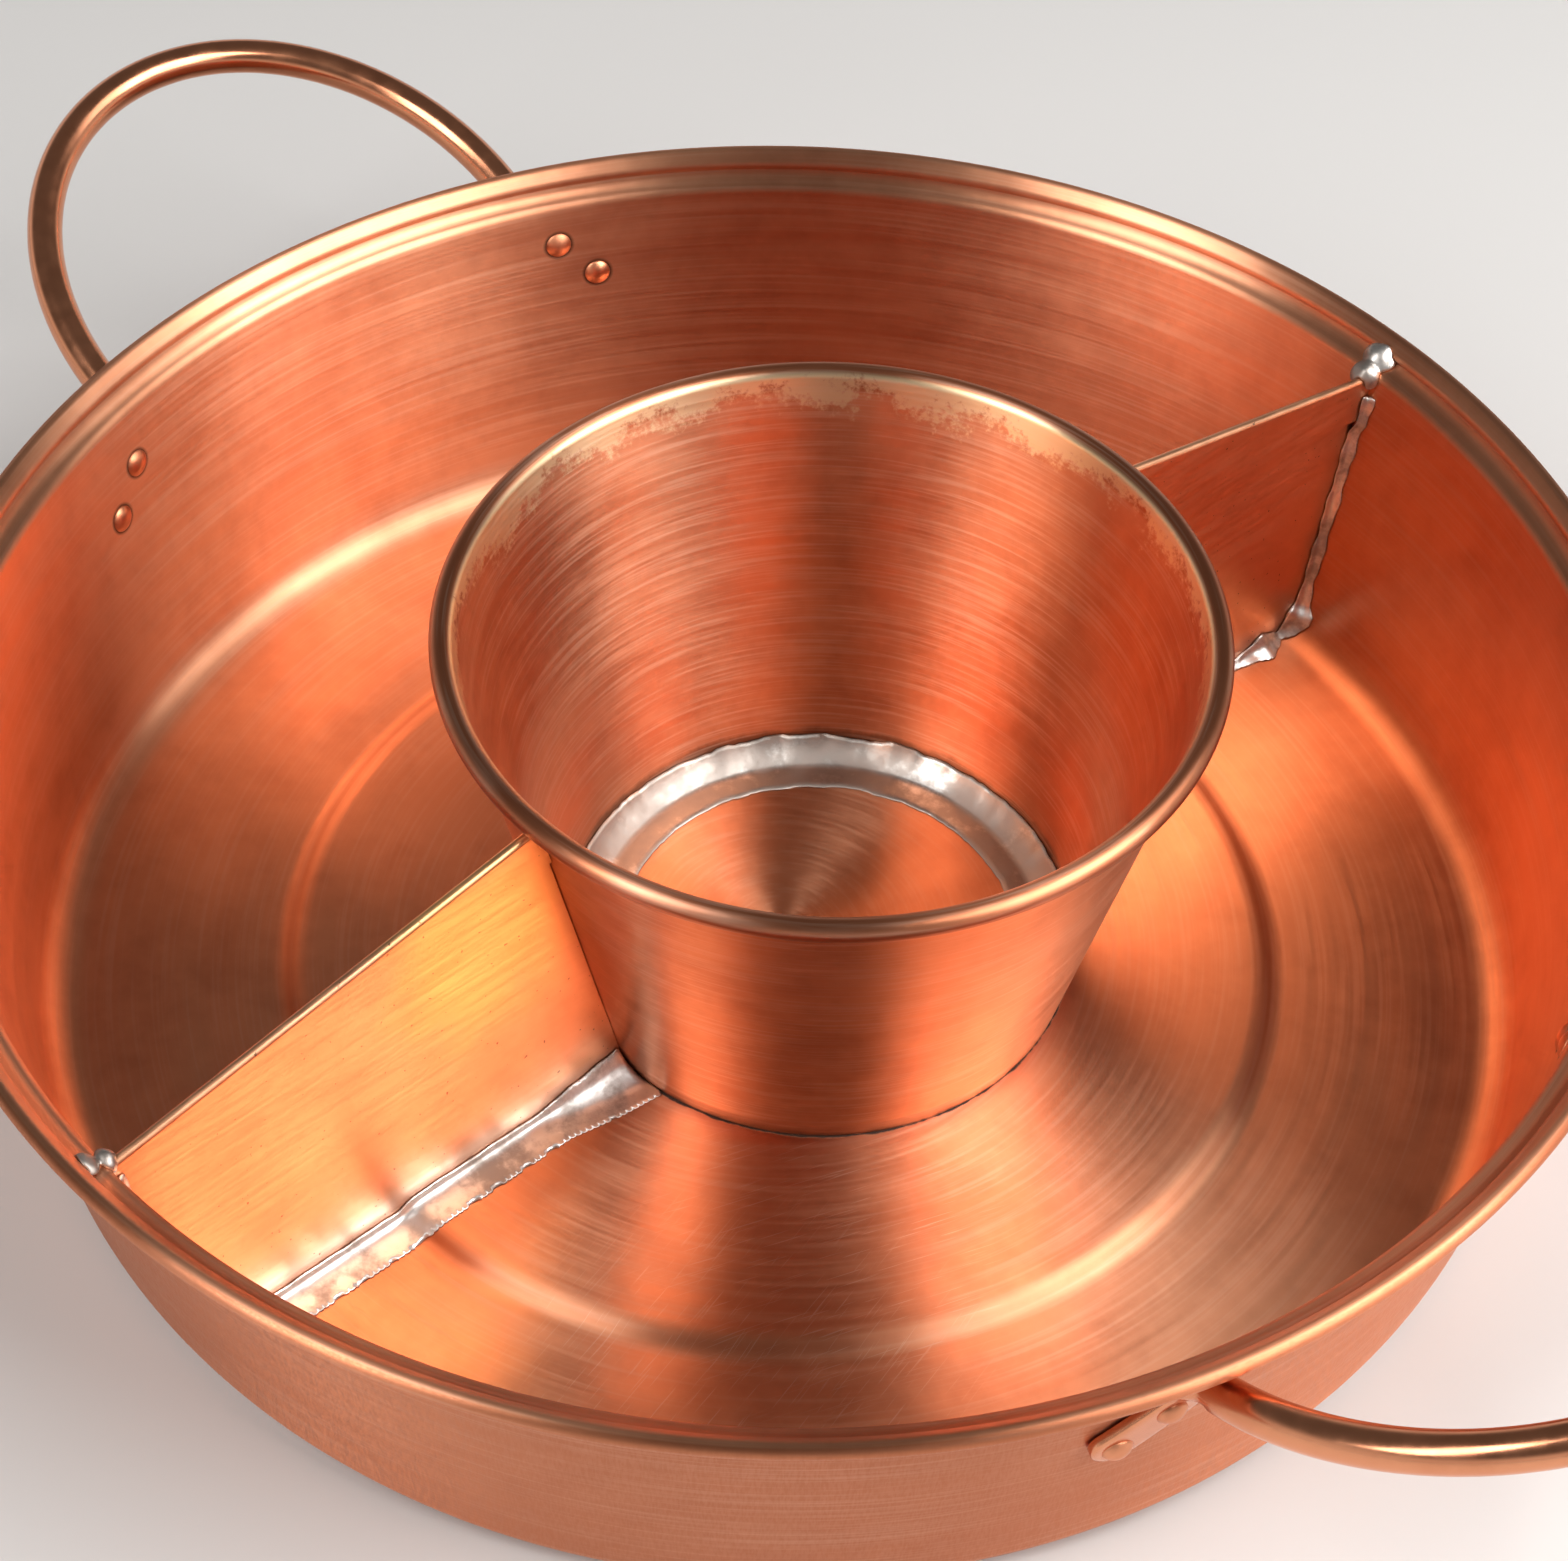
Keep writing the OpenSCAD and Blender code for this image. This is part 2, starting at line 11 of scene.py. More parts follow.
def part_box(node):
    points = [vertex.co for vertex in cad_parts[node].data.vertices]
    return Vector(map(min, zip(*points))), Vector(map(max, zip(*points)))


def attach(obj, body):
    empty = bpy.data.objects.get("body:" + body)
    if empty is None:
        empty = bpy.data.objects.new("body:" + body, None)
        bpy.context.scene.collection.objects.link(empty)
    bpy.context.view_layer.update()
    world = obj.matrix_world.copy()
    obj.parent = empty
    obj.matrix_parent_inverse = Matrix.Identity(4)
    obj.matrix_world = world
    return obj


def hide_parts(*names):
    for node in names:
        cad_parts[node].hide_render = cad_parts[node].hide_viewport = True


bl_info = {
    "name": "Copper hot pot",
    "version": (1, 0, 0),
    "blender": (4, 5, 0),
    "location": "View3D > Sidebar > Hot pot",
    "description": "Builds the visible surfaces of a divided copper hot pot and a plain studio",
    "category": "Object",
}

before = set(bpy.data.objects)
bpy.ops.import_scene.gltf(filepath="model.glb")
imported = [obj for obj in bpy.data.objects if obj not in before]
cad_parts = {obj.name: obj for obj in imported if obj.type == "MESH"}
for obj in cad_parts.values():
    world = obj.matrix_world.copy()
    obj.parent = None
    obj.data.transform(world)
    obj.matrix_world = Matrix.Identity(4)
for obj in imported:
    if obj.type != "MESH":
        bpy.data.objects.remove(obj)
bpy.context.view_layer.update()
MM = 0.001
MERGE = 1e-6
Z_AXIS = Vector((0, 0, 1))

# Slope along which the section of the pan's rolled rim is stretched
ROLL_SLOPE = math.pi / 4

# Degrees that the two waves of the front seam's ripple turn in each millimetre
RIPPLE_TURNS = (55, 24)

# Steps from a handle's nose to its tip: along the loop, the bend, the flat end and its rounding
LOOP_STEPS = 48
BEND_STEPS = 16
EAR_STEPS = 14
TIP_STEPS = 8

# Steps from the edge of a rivet's head to its top
DOME_STEPS = 10

# Depth of the marks that a lathe's abrasive leaves
MARK_DEPTH = 0.003 * MM

# Directions seen from above: the stretch of the pan's wall painted with shade, and the most worn side of the
# cup
SHADED_WALL_SIDE = math.radians(15)
WORN_SIDE = math.radians(137)

# Patches of scratches on the pan's floor: direction, centre and reach
SCRATCHES = (
    (math.radians(104), (0.08, -0.078, 0.002), 0.055),
    (math.radians(70), (0.066, -0.048, 0.002), 0.045),
)

# The camera's place in metres, and its turns in degrees about its own axes, solved from the photo
CAMERA_PLACE = (0.3443, -0.3167, 0.5627)
CAMERA_TURNS = ((47.423, "Z"), (42.379, "X"), (1.881, "Z"))

# Half the floor's width, and the distances between which it fades out
FLOOR_REACH = 6
FLOOR_FADE = (0.6, 1.4)
SOFTBOX_DISTANCE = 1.3


def length(name, description, default):
    """A length property in metres."""
    return FloatProperty(
        name=name, description=description, default=default, min=0, unit="LENGTH", precision=4
    )


def degrees(name, description, default):
    """An angle property, given in degrees."""
    return FloatProperty(
        name=name, description=description, default=math.radians(default), subtype="ANGLE"
    )


def colour(name, description, default):
    """A colour property."""
    return FloatVectorProperty(
        name=name, description=description, default=default, size=3, subtype="COLOR", min=0, max=1
    )


class PanSizes(bpy.types.PropertyGroup):
    sheet: length("Sheet", "Thickness of the pan's copper", 1.2 * MM)
    wall_lean: degrees("Wall lean", "Lean of the wall from upright", 8.6)
    corner: length("Corner", "Inside radius between floor and wall", 8.5 * MM)
    ledge_width: length("Ledge width", "Width of the sloping ledge", 5.3 * MM)
    ledge_rise: length("Ledge rise", "Height gained over the ledge", 2.2 * MM)
    shoulder: length("Shoulder", "Radius between wall and ledge", 2.5 * MM)
    roll: length("Roll", "Thickness of the rolled rim", 3.2 * MM)
    roll_stretch: length("Roll stretch", "How much wider than thick the roll is", 2 * MM)
    roll_seat: length("Roll seat", "How far the sheet reaches below the roll", 0.1 * MM)
    disc_radius: length("Disc radius", "Radius of the raised disc", 101.25 * MM)
    disc_rise: length("Disc rise", "Height of the raised disc", 1.6 * MM)
    disc_slope: length("Disc slope", "Width of the slope round the disc", 4 * MM)
    disc_edge: FloatProperty(name="Disc edge", description="Share of the slope in each edge", default=0.4)
    step: length("Step", "Spacing of the points along the sheet", 4 * MM)
    turns: IntProperty(name="Turns", description="Steps round the pan", default=288, min=32)


class CupSizes(bpy.types.PropertyGroup):
    sheet: length("Sheet", "Thickness of the cup's copper", 1 * MM)
    foot_radius: length("Foot radius", "Outside radius of the foot", 52.4 * MM)
    roll: length("Roll", "Thickness of the cup's rolled rim", 4.6 * MM)
    turns: IntProperty(name="Turns", description="Steps round the cup", default=224, min=32)


class HandleSizes(bpy.types.PropertyGroup):
    rod: length("Rod", "Diameter of the rod", 7.5 * MM)
    loop_width: length("Loop width", "Width between the rod's centre lines", 106 * MM)
    nose: length("Nose", "Length of the loop's rounded nose", 62.4 * MM)
    ear_width: length("Ear width", "Width of the flattened ends", 9.5 * MM)
    ear_thickness: length("Ear thickness", "Thickness of the flattened ends", 2.5 * MM)
    ear_slope: degrees("Ear slope", "Slope of the flattened ends", 45)
    bend: length("Bend", "Distance from the wall at which the rod starts to bend", 6.5 * MM)
    ear_start: length("Ear start", "Distance from the root at which the end is flat", 3.4 * MM)
    tip_angle: degrees("Tip angle", "How far round its half circle the tip goes", 84)
    tip_thinning: FloatProperty(name="Tip thinning", description="Thickness lost at the tip", default=0.35)
    left_azimuth: degrees("Left azimuth", "Direction of the left handle", 177.9)
    left_tilt: degrees("Left tilt", "Rise of the left loop", 18)
    left_depth: length("Left depth", "Length of the left loop", 77.2 * MM)
    left_drop: length("Left drop", "Drop from the rim to the left root", 12.3 * MM)
    left_skew: length("Left skew", "Difference in height of the left handle's ends", 1.7 * MM)
    right_azimuth: degrees("Right azimuth", "Direction of the right handle", 2.5)
    right_tilt: degrees("Right tilt", "Rise of the right loop", 26.9)
    right_depth: length("Right depth", "Length of the right loop", 79.5 * MM)
    right_drop: length("Right drop", "Drop from the rim to the right root", 13.5 * MM)


class RivetSizes(bpy.types.PropertyGroup):
    head: length("Head", "Diameter of the heads", 5.8 * MM)
    inner_height: length("Inner height", "Height of the inner heads", 1.1 * MM)
    outer_height: length("Outer height", "Height of the outer heads", 1.5 * MM)
    first: length("First", "Distance from the root to the first rivet", 6.9 * MM)
    pitch: length("Pitch", "Distance between two rivets", 12.2 * MM)
    gap: length("Gap", "Gap between joined pieces", 0.1 * MM)


class SolderSizes(bpy.types.PropertyGroup):
    ring_root: length("Ring root", "Radius where the ring's back meets the floor", 51.2 * MM)
    ring_width: length("Ring width", "Width of the ring over the floor", 10.3 * MM)
    ring_foot: length("Ring foot", "Reach of the ring's thick part", 4.5 * MM)
    ring_edge: length("Ring edge", "Thickness of the ring's edge", 0.35 * MM)
    ring_rise: length("Ring rise", "Unevenness of the ring's top", 0.9 * MM)
    ring_spread: length("Ring spread", "Unevenness of the ring's edge on the floor", 0.5 * MM)
    hollow: FloatProperty(name="Hollow", description="How full the ring's thick part is", default=0.4)
    turns: IntProperty(name="Turns", description="Steps round the ring", default=240, min=32)
    seam_lump: length("Seam lump", "Unevenness of the seams", 0.35 * MM)
    ripple: FloatProperty(name="Ripple", description="Ripple ironed out of the front seam", default=0.08)
    drop_lump: length("Drop lump", "Unevenness of the drops", 0.5 * MM)
    voxel: length("Voxel", "Fineness of the drops", 0.25 * MM)


class Finishes(bpy.types.PropertyGroup):
    copper: colour("Copper", "Clean copper", (0.87, 0.39, 0.215))
    # Darkened copper: real darker patches and the cup rim's tone, and also painted shade on the pan's
    # outside, a stretch of its wall and the rods
    dark_copper_and_shade: colour("Dark copper and shade", "Copper that has darkened", (0.5, 0.155, 0.07))
    pale_copper: colour("Pale copper", "Copper thinly wiped with tin", (1, 0.76, 0.46))
    # Paler copper on the real brush marks, a painted sheen
    brush_mark_sheen: colour("Bright mark", "Fresh copper in a brush mark", (1, 0.75, 0.58))
    # Paler copper in the real scratches, a painted highlight
    scratch_glint: colour("Scratch", "Fresh copper in a scratch", (1, 0.78, 0.62))
    gold: colour("Gold", "Heat tint on the plate", (0.95, 0.6, 0.2))
    heat_centre: FloatVectorProperty(
        name="Heat centre", description="Middle of the heat tint", default=(0.0054, -0.078, 0.067), size=3
    )
    tin: colour("Tin", "Clean tin", (0.8, 0.77, 0.73))
    dull_tin: colour("Dull tin", "Tin that has greyed", (0.42, 0.37, 0.33))
    soot: colour("Soot", "Dark seam", (0.06, 0.035, 0.025))


class StudioSizes(bpy.types.PropertyGroup):
    lens: FloatProperty(name="Lens", description="Focal length in mm", default=80.43)
    floor: colour("Floor", "Colour of the floor", (0.7, 0.68, 0.66))
    side_light: FloatProperty(name="Side light", description="Power of the softboxes in W/m2", default=20)
    far_share: FloatProperty(name="Far share", description="Brightness of the far softbox", default=0.35)
    horizon: FloatProperty(
        name="Horizon", description="Strength of the surroundings at floor level", default=0.75
    )
    world: FloatProperty(name="World", description="Strength of the surroundings overhead", default=0.12)


def settings(group):
    """One of the property groups of this scene."""
    return getattr(bpy.context.scene, group)


# Outlines as lists of points (distance from the axis, height)


def polar(radius, angle):
    """The point at a distance and an angle from the origin."""
    return Vector((radius * math.cos(angle), radius * math.sin(angle)))


def arc(centre, radius, start, end, steps):
    """Points along an arc, both ends included."""
    return [centre + polar(radius, start + (end - start) * i / steps) for i in range(steps + 1)]


def rounded_corner(before, here, after, radius, steps=12):
    """The points of an arc that rounds a corner."""
    u = (before - here).normalized()
    v = (after - here).normalized()
    half = u.angle(v) / 2
    middle = here + (u + v).normalized() * (radius / math.sin(half))
    first = here + u * (radius / math.tan(half)) - middle
    turn = math.copysign(math.pi - 2 * half, -u.cross(v))
    start = math.atan2(first.y, first.x)
    return arc(middle, radius, start, start + turn, steps)


def shifted(path, distance):
    """The path moved to its left."""
    moved = []
    for i, point in enumerate(path):
        along = (path[min(i + 1, len(path) - 1)] - path[max(i - 1, 0)]).normalized()
        moved.append(point + Vector((-along.y, along.x)) * distance)
    return moved


def filled_in(path, step):
    """The path with long straight stretches divided."""
    points = [path[0]]
    for a, b in zip(path, path[1:]):
        parts = max(1, round((b - a).length / step))
        points += [a.lerp(b, i / parts) for i in range(1, parts + 1)]
    return points


class Pan:
    """Places on the pan that other pieces share."""

    def __init__(self):
        size = settings("pan_sizes")
        low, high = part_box("pan_body")
        self.size = size
        self.rim_height = high.z
        radius = size.roll / 2
        self.roll_high = Vector((high.x - radius, high.z - radius))
        self.roll_low = self.roll_high - polar(size.roll_stretch, ROLL_SLOPE)
        self.ledge_end = self.roll_low - Vector((0, radius - size.sheet / 2 + size.roll_seat))
        self.shoulder = self.ledge_end - Vector((size.ledge_width, size.ledge_rise))
        self.floor_edge = self.shoulder.x - (self.shoulder.y - size.sheet / 2) * math.tan(size.wall_lean)

    def middle_path(self):
        """The middle of the sheet, from the axis to the ledge's end."""
        size = self.size
        half = size.sheet / 2
        high = size.disc_rise + half
        slope = size.disc_slope / 2
        steep = math.atan2(size.disc_rise, size.disc_slope)
        edge = size.disc_edge * math.hypot(size.disc_slope, size.disc_rise) / math.tan(steep / 2)
        corners = [
            (Vector((0, high)), 0),
            (Vector((size.disc_radius - slope, high)), edge),
            (Vector((size.disc_radius + slope, half)), edge),
            (Vector((self.floor_edge, half)), size.corner + half),
            (self.shoulder, size.shoulder - half),
            (self.ledge_end, 0),
        ]
        path = [corners[0][0]]
        for before, here, after in zip(corners, corners[1:], corners[2:]):
            path += rounded_corner(before[0], here[0], after[0], here[1])
        return path + [corners[-1][0]]

    def outline(self):
        """The whole section, from the axis over the inside and the roll, and back underneath."""
        size = self.size
        path = self.middle_path()
        radius = size.roll / 2
        inside = shifted(path, size.sheet / 2)
        under = shifted(path, -size.sheet / 2)
        slope = math.atan2(size.ledge_rise, size.ledge_width)
        along = polar(1, slope)
        reach = inside[-1] - self.roll_low
        back = reach.dot(along) + math.sqrt(reach.dot(along) ** 2 - reach.length_squared + radius**2)
        inside[-1] -= along * back
        away = inside[-1] - self.roll_low
        start = math.atan2(away.y, away.x) % (2 * math.pi)
        over = ROLL_SLOPE + math.pi / 2
        below = ROLL_SLOPE - math.pi / 2
        outline = filled_in(inside, size.step)
        outline += arc(self.roll_low, radius, start, over, 8)[1:]
        outline += arc(self.roll_high, radius, over, below, 16)
        outline += arc(self.roll_low, radius, below, slope - math.pi / 2, 3)
        return outline + filled_in(under[-2::-1], size.step)

    def wall_radius(self, height):
        """Distance from the axis to the middle of the wall."""
        return self.floor_edge + (height - self.size.sheet / 2) * math.tan(self.size.wall_lean)

    def wall_normal(self, azimuth):
        """Direction square to the wall, outward."""
        lean = self.size.wall_lean
        return Vector(
            (math.cos(lean) * math.cos(azimuth), math.cos(lean) * math.sin(azimuth), -math.sin(lean))
        )

    def wall_point(self, azimuth, height, off):
        """A point at a distance outward from the middle of the wall."""
        radius = self.wall_radius(height)
        base = Vector((radius * math.cos(azimuth), radius * math.sin(azimuth), height))
        return base + self.wall_normal(azimuth) * off


class Loop:
    """One handle: its centre line and its two flattened ends."""

    def __init__(self, side_name, pan):
        size = settings("handle_sizes")
        self.size = size
        self.pan = pan
        self.azimuth = getattr(size, side_name + "_azimuth")
        self.tilt = getattr(size, side_name + "_tilt")
        self.depth = getattr(size, side_name + "_depth")
        self.root_height = pan.rim_height - getattr(size, side_name + "_drop")
        self.skew = size.left_skew if side_name == "left" else 0
        root_angle = math.acos(-(self.depth - size.nose) / size.nose)
        self.root_side = size.loop_width / 2 * math.sin(root_angle)
        self.root_azimuth = math.asin(self.root_side / pan.wall_radius(self.root_height))
        self.bend_angle = math.acos((size.bend - self.depth + size.nose) / size.nose)

    def loop_point(self, side, angle):
        """A point of the loop's centre line, at an angle from its nose."""
        size = self.size
        reach = self.depth - size.nose + size.nose * math.cos(angle)
        outside = self.pan.wall_radius(self.root_height) + self.pan.size.sheet / 2
        near = math.sqrt(outside**2 - self.root_side**2)
        return Vector(
            (
                near + reach * math.cos(self.tilt),
                side * size.loop_width / 2 * math.sin(angle),
                self.root_height + reach * math.sin(self.tilt),
            )
        )

    def ear_place(self, side, distance):
        """Azimuth and height at a distance down a flattened end."""
        slope = self.size.ear_slope
        height = self.root_height - side * self.skew
        radius = self.pan.wall_radius(height)
        azimuth = side * (self.root_azimuth + distance * math.cos(slope) / radius)
        return azimuth, height - distance * math.sin(slope) * math.cos(self.pan.size.wall_lean)

    def ear_point(self, side, distance, off):
        """A point of a flattened end, at a distance off its seat on the wall."""
        azimuth, height = self.ear_place(side, distance)
        seat = self.pan.size.sheet / 2 + settings("rivet_sizes").gap
        return self.pan.wall_point(azimuth, height, seat + off)

    def ear_up(self, side, distance):
        """Direction in which a flattened end faces."""
        return self.pan.wall_normal(self.ear_place(side, distance)[0])

    def stations(self, side):
        """From the nose to one end: (point, half width, half thickness, flatness, up)."""
        size = self.size
        off = size.ear_thickness / 2
        rod = size.rod / 2
        rivets = settings("rivet_sizes")
        start = self.loop_point(side, self.bend_angle)
        root = self.ear_point(side, 0, off)
        stop = self.ear_point(side, size.ear_start, off)
        down = (stop - root).normalized()
        outward = self.ear_up(side, size.ear_start)
        rows = []
        for i in range(LOOP_STEPS):
            rows.append((self.loop_point(side, self.bend_angle * i / LOOP_STEPS), rod, rod, 0, down))
        for i in range(BEND_STEPS):
            t = i / BEND_STEPS
            rows.append(
                (
                    start.lerp(root, t).lerp(root.lerp(stop, t), t),
                    (size.rod * (1 - t) + size.ear_width * t) / 2,
                    (size.rod + (size.ear_thickness - size.rod) * t**0.8) / 2,
                    t,
                    down.lerp(outward, t).normalized(),
                )
            )
        last = rivets.first + rivets.pitch
        half_width = size.ear_width / 2
        for i in range(EAR_STEPS + 1):
            d = size.ear_start + (last - size.ear_start) * i / EAR_STEPS
            rows.append((self.ear_point(side, d, off), half_width, off, 1, self.ear_up(side, d)))
        for i in range(1, TIP_STEPS + 1):
            t = i / TIP_STEPS
            d = last + half_width * math.sin(size.tip_angle * t)
            width = half_width * math.cos(size.tip_angle * t)
            thin = off * (1 - size.tip_thinning * t**3)
            rows.append((self.ear_point(side, d, off), width, thin, 1, self.ear_up(side, d)))
        return rows


def axis_foot(node):
    """The point on the ground in the middle of a round CAD node."""
    low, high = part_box(node)
    return Vector(((low.x + high.x) / 2, (low.y + high.y) / 2, 0))


def finish_piece(name, bm, material, replaces, sharp=None):
    """Turn a bmesh into a piece of the pot that stands for some CAD nodes."""
    bmesh.ops.recalc_face_normals(bm, faces=bm.faces)
    mesh = bpy.data.meshes.new(name)
    bm.to_mesh(mesh)
    bm.free()
    piece = bpy.data.objects.new(name, mesh)
    bpy.context.scene.collection.objects.link(piece)
    for face in mesh.polygons:
        face.use_smooth = True
    if sharp is not None:
        mesh.set_sharp_from_angle(angle=sharp)
    mesh.materials.append(material)
    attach(piece, "root")
    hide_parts(*replaces)


def spun(bm, outline, centre, turns, closed=False):
    """Spin an outline about an upright axis."""
    verts = [bm.verts.new((centre.x + p.x, centre.y, p.y)) for p in outline]
    edges = [bm.edges.new(pair) for pair in zip(verts, verts[1:])]
    if closed:
        edges.append(bm.edges.new((verts[-1], verts[0])))
    bmesh.ops.spin(
        bm, geom=verts + edges, cent=centre, axis=Z_AXIS, angle=2 * math.pi, steps=turns, use_merge=True
    )
    bmesh.ops.remove_doubles(bm, verts=bm.verts, dist=MERGE)


def swept(bm, rings):
    """Sweep a closed ring of points through its places, by extruding it from each to the next."""
    verts = [bm.verts.new(point) for point in rings[0]]
    edges = [bm.edges.new((a, b)) for a, b in zip(verts, verts[1:] + verts[:1])]
    bm.faces.new(verts)
    for ring in rings[1:]:
        made = bmesh.ops.extrude_edge_only(bm, edges=edges)["geom"]
        new = [item for item in made if isinstance(item, bmesh.types.BMVert)]
        old = set(verts)
        follow = {}
        for vert in new:
            for edge in vert.link_edges:
                if edge.other_vert(vert) in old:
                    follow[edge.other_vert(vert)] = vert
        verts = [follow[v] for v in verts]
        for vert, point in zip(verts, ring):
            vert.co = point
        edges = [bm.edges.get((a, b)) for a, b in zip(verts, verts[1:] + verts[:1])]
    bm.faces.new(list(reversed(verts)))


# Materials


class Mixer:
    """Adds nodes to one material, each with its inputs given by name."""

    def __init__(self, name):
        self.material = bpy.data.materials.new(name)
        self.material.use_nodes = True
        self.tree = self.material.node_tree
        self.shader = self.tree.nodes["Principled BSDF"]

    def add(self, kind, choices=None, **inputs):
        made = self.tree.nodes.new(kind)
        for key, value in (choices or {}).items():
            setattr(made, key, value)
        for key, value in inputs.items():
            self.feed(made, key, value)
        return made

    def feed(self, made, key, value):
        """Set or link an input. A key such as i6 is its number, and any other key is its name."""
        names = {socket.name.replace(" ", "_"): socket for socket in reversed(made.inputs)}
        socket = made.inputs[int(key[1:])] if key[0] == "i" and key[1:].isdigit() else names[key]
        if isinstance(value, bpy.types.NodeSocket):
            self.tree.links.new(value, socket)
        else:
            socket.default_value = value

    def math(self, operation, a, b=0.0):
        return self.add("ShaderNodeMath", {"operation": operation}, i0=a, i1=b).outputs[0]

    def distance(self, operation, a, b=(0, 0, 0)):
        """The length of a vector, or the distance between two."""
        made = self.add("ShaderNodeVectorMath", {"operation": operation}, i0=a, i1=b)
        return made.outputs["Value"]

    def ramp(self, value, low, high, to_low=0.0, to_high=1.0):
        """A value from one range put into another, held at its ends."""
        made = self.add(
            "ShaderNodeMapRange",
            {"interpolation_type": "SMOOTHSTEP"},
            Value=value,
            From_Min=low,
            From_Max=high,
            To_Min=to_low,
            To_Max=to_high,
        )
        return made.outputs[0]

    def blend(self, factor, a, b, kind="MIX"):
        made = self.add(
            "ShaderNodeMix", {"data_type": "RGBA", "blend_type": kind, "clamp_factor": True}, i0=factor
        )
        self.feed(made, "i6", a if isinstance(a, bpy.types.NodeSocket) else (*a, 1))
        self.feed(made, "i7", b if isinstance(b, bpy.types.NodeSocket) else (*b, 1))
        return made.outputs[2]

    def noise(self, vector, scale, detail=4.0, roughness=0.5):
        made = self.add(
            "ShaderNodeTexNoise", Vector=vector, Scale=scale, Detail=detail, Roughness=roughness
        )
        return made.outputs["Fac"]

    def object_coordinates(self):
        return self.add("ShaderNodeTexCoord").outputs["Object"]

    def turned(self, vector, centre=(0, 0, 0), turn=(0, 0, 0), scale=(1, 1, 1)):
        """Coordinates measured from a centre, turned about it and then scaled."""
        made = self.add("ShaderNodeMapping", {"vector_type": "TEXTURE"}, Vector=vector)
        made.inputs["Location"].default_value = centre
        made.inputs["Rotation"].default_value = turn
        stretched = self.add("ShaderNodeMapping", Vector=made.outputs[0])
        stretched.inputs["Scale"].default_value = scale
        return stretched.outputs[0]

    def round_coordinates(self, centre=(0, 0, 0)):
        """Distance from an upright axis, angle round it and height."""
        here = self.add("ShaderNodeSeparateXYZ", Vector=self.turned(self.object_coordinates(), centre))
        x, y, z = here.outputs
        squares = self.math("ADD", self.math("MULTIPLY", x, x), self.math("MULTIPLY", y, y))
        return self.math("SQRT", squares), self.math("ARCTAN2", y, x), z

    def vector(self, x, y, z):
        return self.add("ShaderNodeCombineXYZ", X=x, Y=y, Z=z).outputs[0]

    def bump(self, height, distance, strength=1.0, normal=None):
        made = self.add("ShaderNodeBump", Height=height, Distance=distance, Strength=strength)
        if normal is not None:
            self.feed(made, "Normal", normal)
        return made.outputs[0]


def ring_brushing(mix, centre, pitch, stretch):
    """Marks that run round an axis: fine ones and broad ones."""
    radius, angle, z = mix.round_coordinates(centre)
    across = mix.math("ADD", radius, z)
    x = mix.math("MULTIPLY", mix.math("COSINE", angle), stretch)
    y = mix.math("MULTIPLY", mix.math("SINE", angle), stretch)
    fine = mix.noise(mix.vector(x, y, mix.math("MULTIPLY", across, 1 / pitch)), 1.0, 3.0, 0.55)
    broad = mix.noise(mix.vector(x, y, mix.math("MULTIPLY", across, 0.12 / pitch)), 1.0, 2.0)
    return fine, broad


def copper_base(mix, amount=0.5, scale=18.0):
    """Copper with cloudy darker patches."""
    look = settings("finishes")
    here = mix.object_coordinates()
    cloud = mix.noise(here, scale, 5.0, 0.6)
    small = mix.noise(here, scale * 7, 4.0, 0.6)
    patches = mix.ramp(mix.math("ADD", cloud, mix.math("MULTIPLY", small, 0.35)), 0.5, 0.95)
    return mix.blend(mix.math("MULTIPLY", patches, amount), look.copper, look.dark_copper_and_shade)


def brushed(mix, base, centre, rough, anisotropy, pitch, stretch, marks):
    """Give a metal the sheen and the marks of a lathe's abrasive. Returns the marks' normal."""
    fine, broad = ring_brushing(mix, centre, pitch, stretch)
    mix.shader.inputs["Metallic"].default_value = 1
    uneven = mix.math("ADD", mix.math("MULTIPLY", fine, 0.6), mix.math("MULTIPLY", broad, 0.4))
    mix.feed(mix.shader, "Roughness", mix.ramp(uneven, 0.3, 0.7, rough - 0.05, rough + 0.05))
    # Painted sheen: the fine brush marks are mixed towards paler copper
    painted_sheen = mix.ramp(fine, 0.45, 0.7, 0.0, marks)
    mix.feed(mix.shader, "Base_Color", mix.blend(painted_sheen, base, settings("finishes").brush_mark_sheen))
    mix.shader.inputs["Anisotropic"].default_value = anisotropy
    mix.shader.inputs["Anisotropic Rotation"].default_value = 0.25
    tangent = mix.add("ShaderNodeTangent", {"direction_type": "RADIAL", "axis": "Z"})
    mix.feed(mix.shader, "Tangent", tangent.outputs[0])
    return mix.bump(fine, MARK_DEPTH)


def outside_mask(mix):
    """1 where a surface looks away from the pot's axis, 0 where it looks at it or up."""
    kind = "ShaderNodeVectorMath"
    normal = mix.add("ShaderNodeNewGeometry").outputs["Normal"]
    here = mix.add(kind, {"operation": "MULTIPLY"}, i0=mix.object_coordinates(), i1=(1, 1, 0))
    outward = mix.add(kind, {"operation": "NORMALIZE"}, i0=here.outputs[0])
    facing = mix.add(kind, {"operation": "DOT_PRODUCT"}, i0=normal, i1=outward.outputs[0])
    return mix.ramp(facing.outputs["Value"], 0.2, 0.5)


def scratches(mix, turn, centre, reach, dense=0.62):
    """Thin straight scratches in one direction, in a patch."""
    here = mix.turned(mix.object_coordinates(), centre, (0, 0, turn))
    long = mix.noise(mix.turned(here, scale=(60, 2600, 60)), 1.0, 2.0)
    patch = mix.ramp(mix.distance("LENGTH", here), reach * 0.4, reach, 1.0, 0.0)
    return mix.math("MULTIPLY", mix.ramp(long, dense, dense + 0.06), patch)


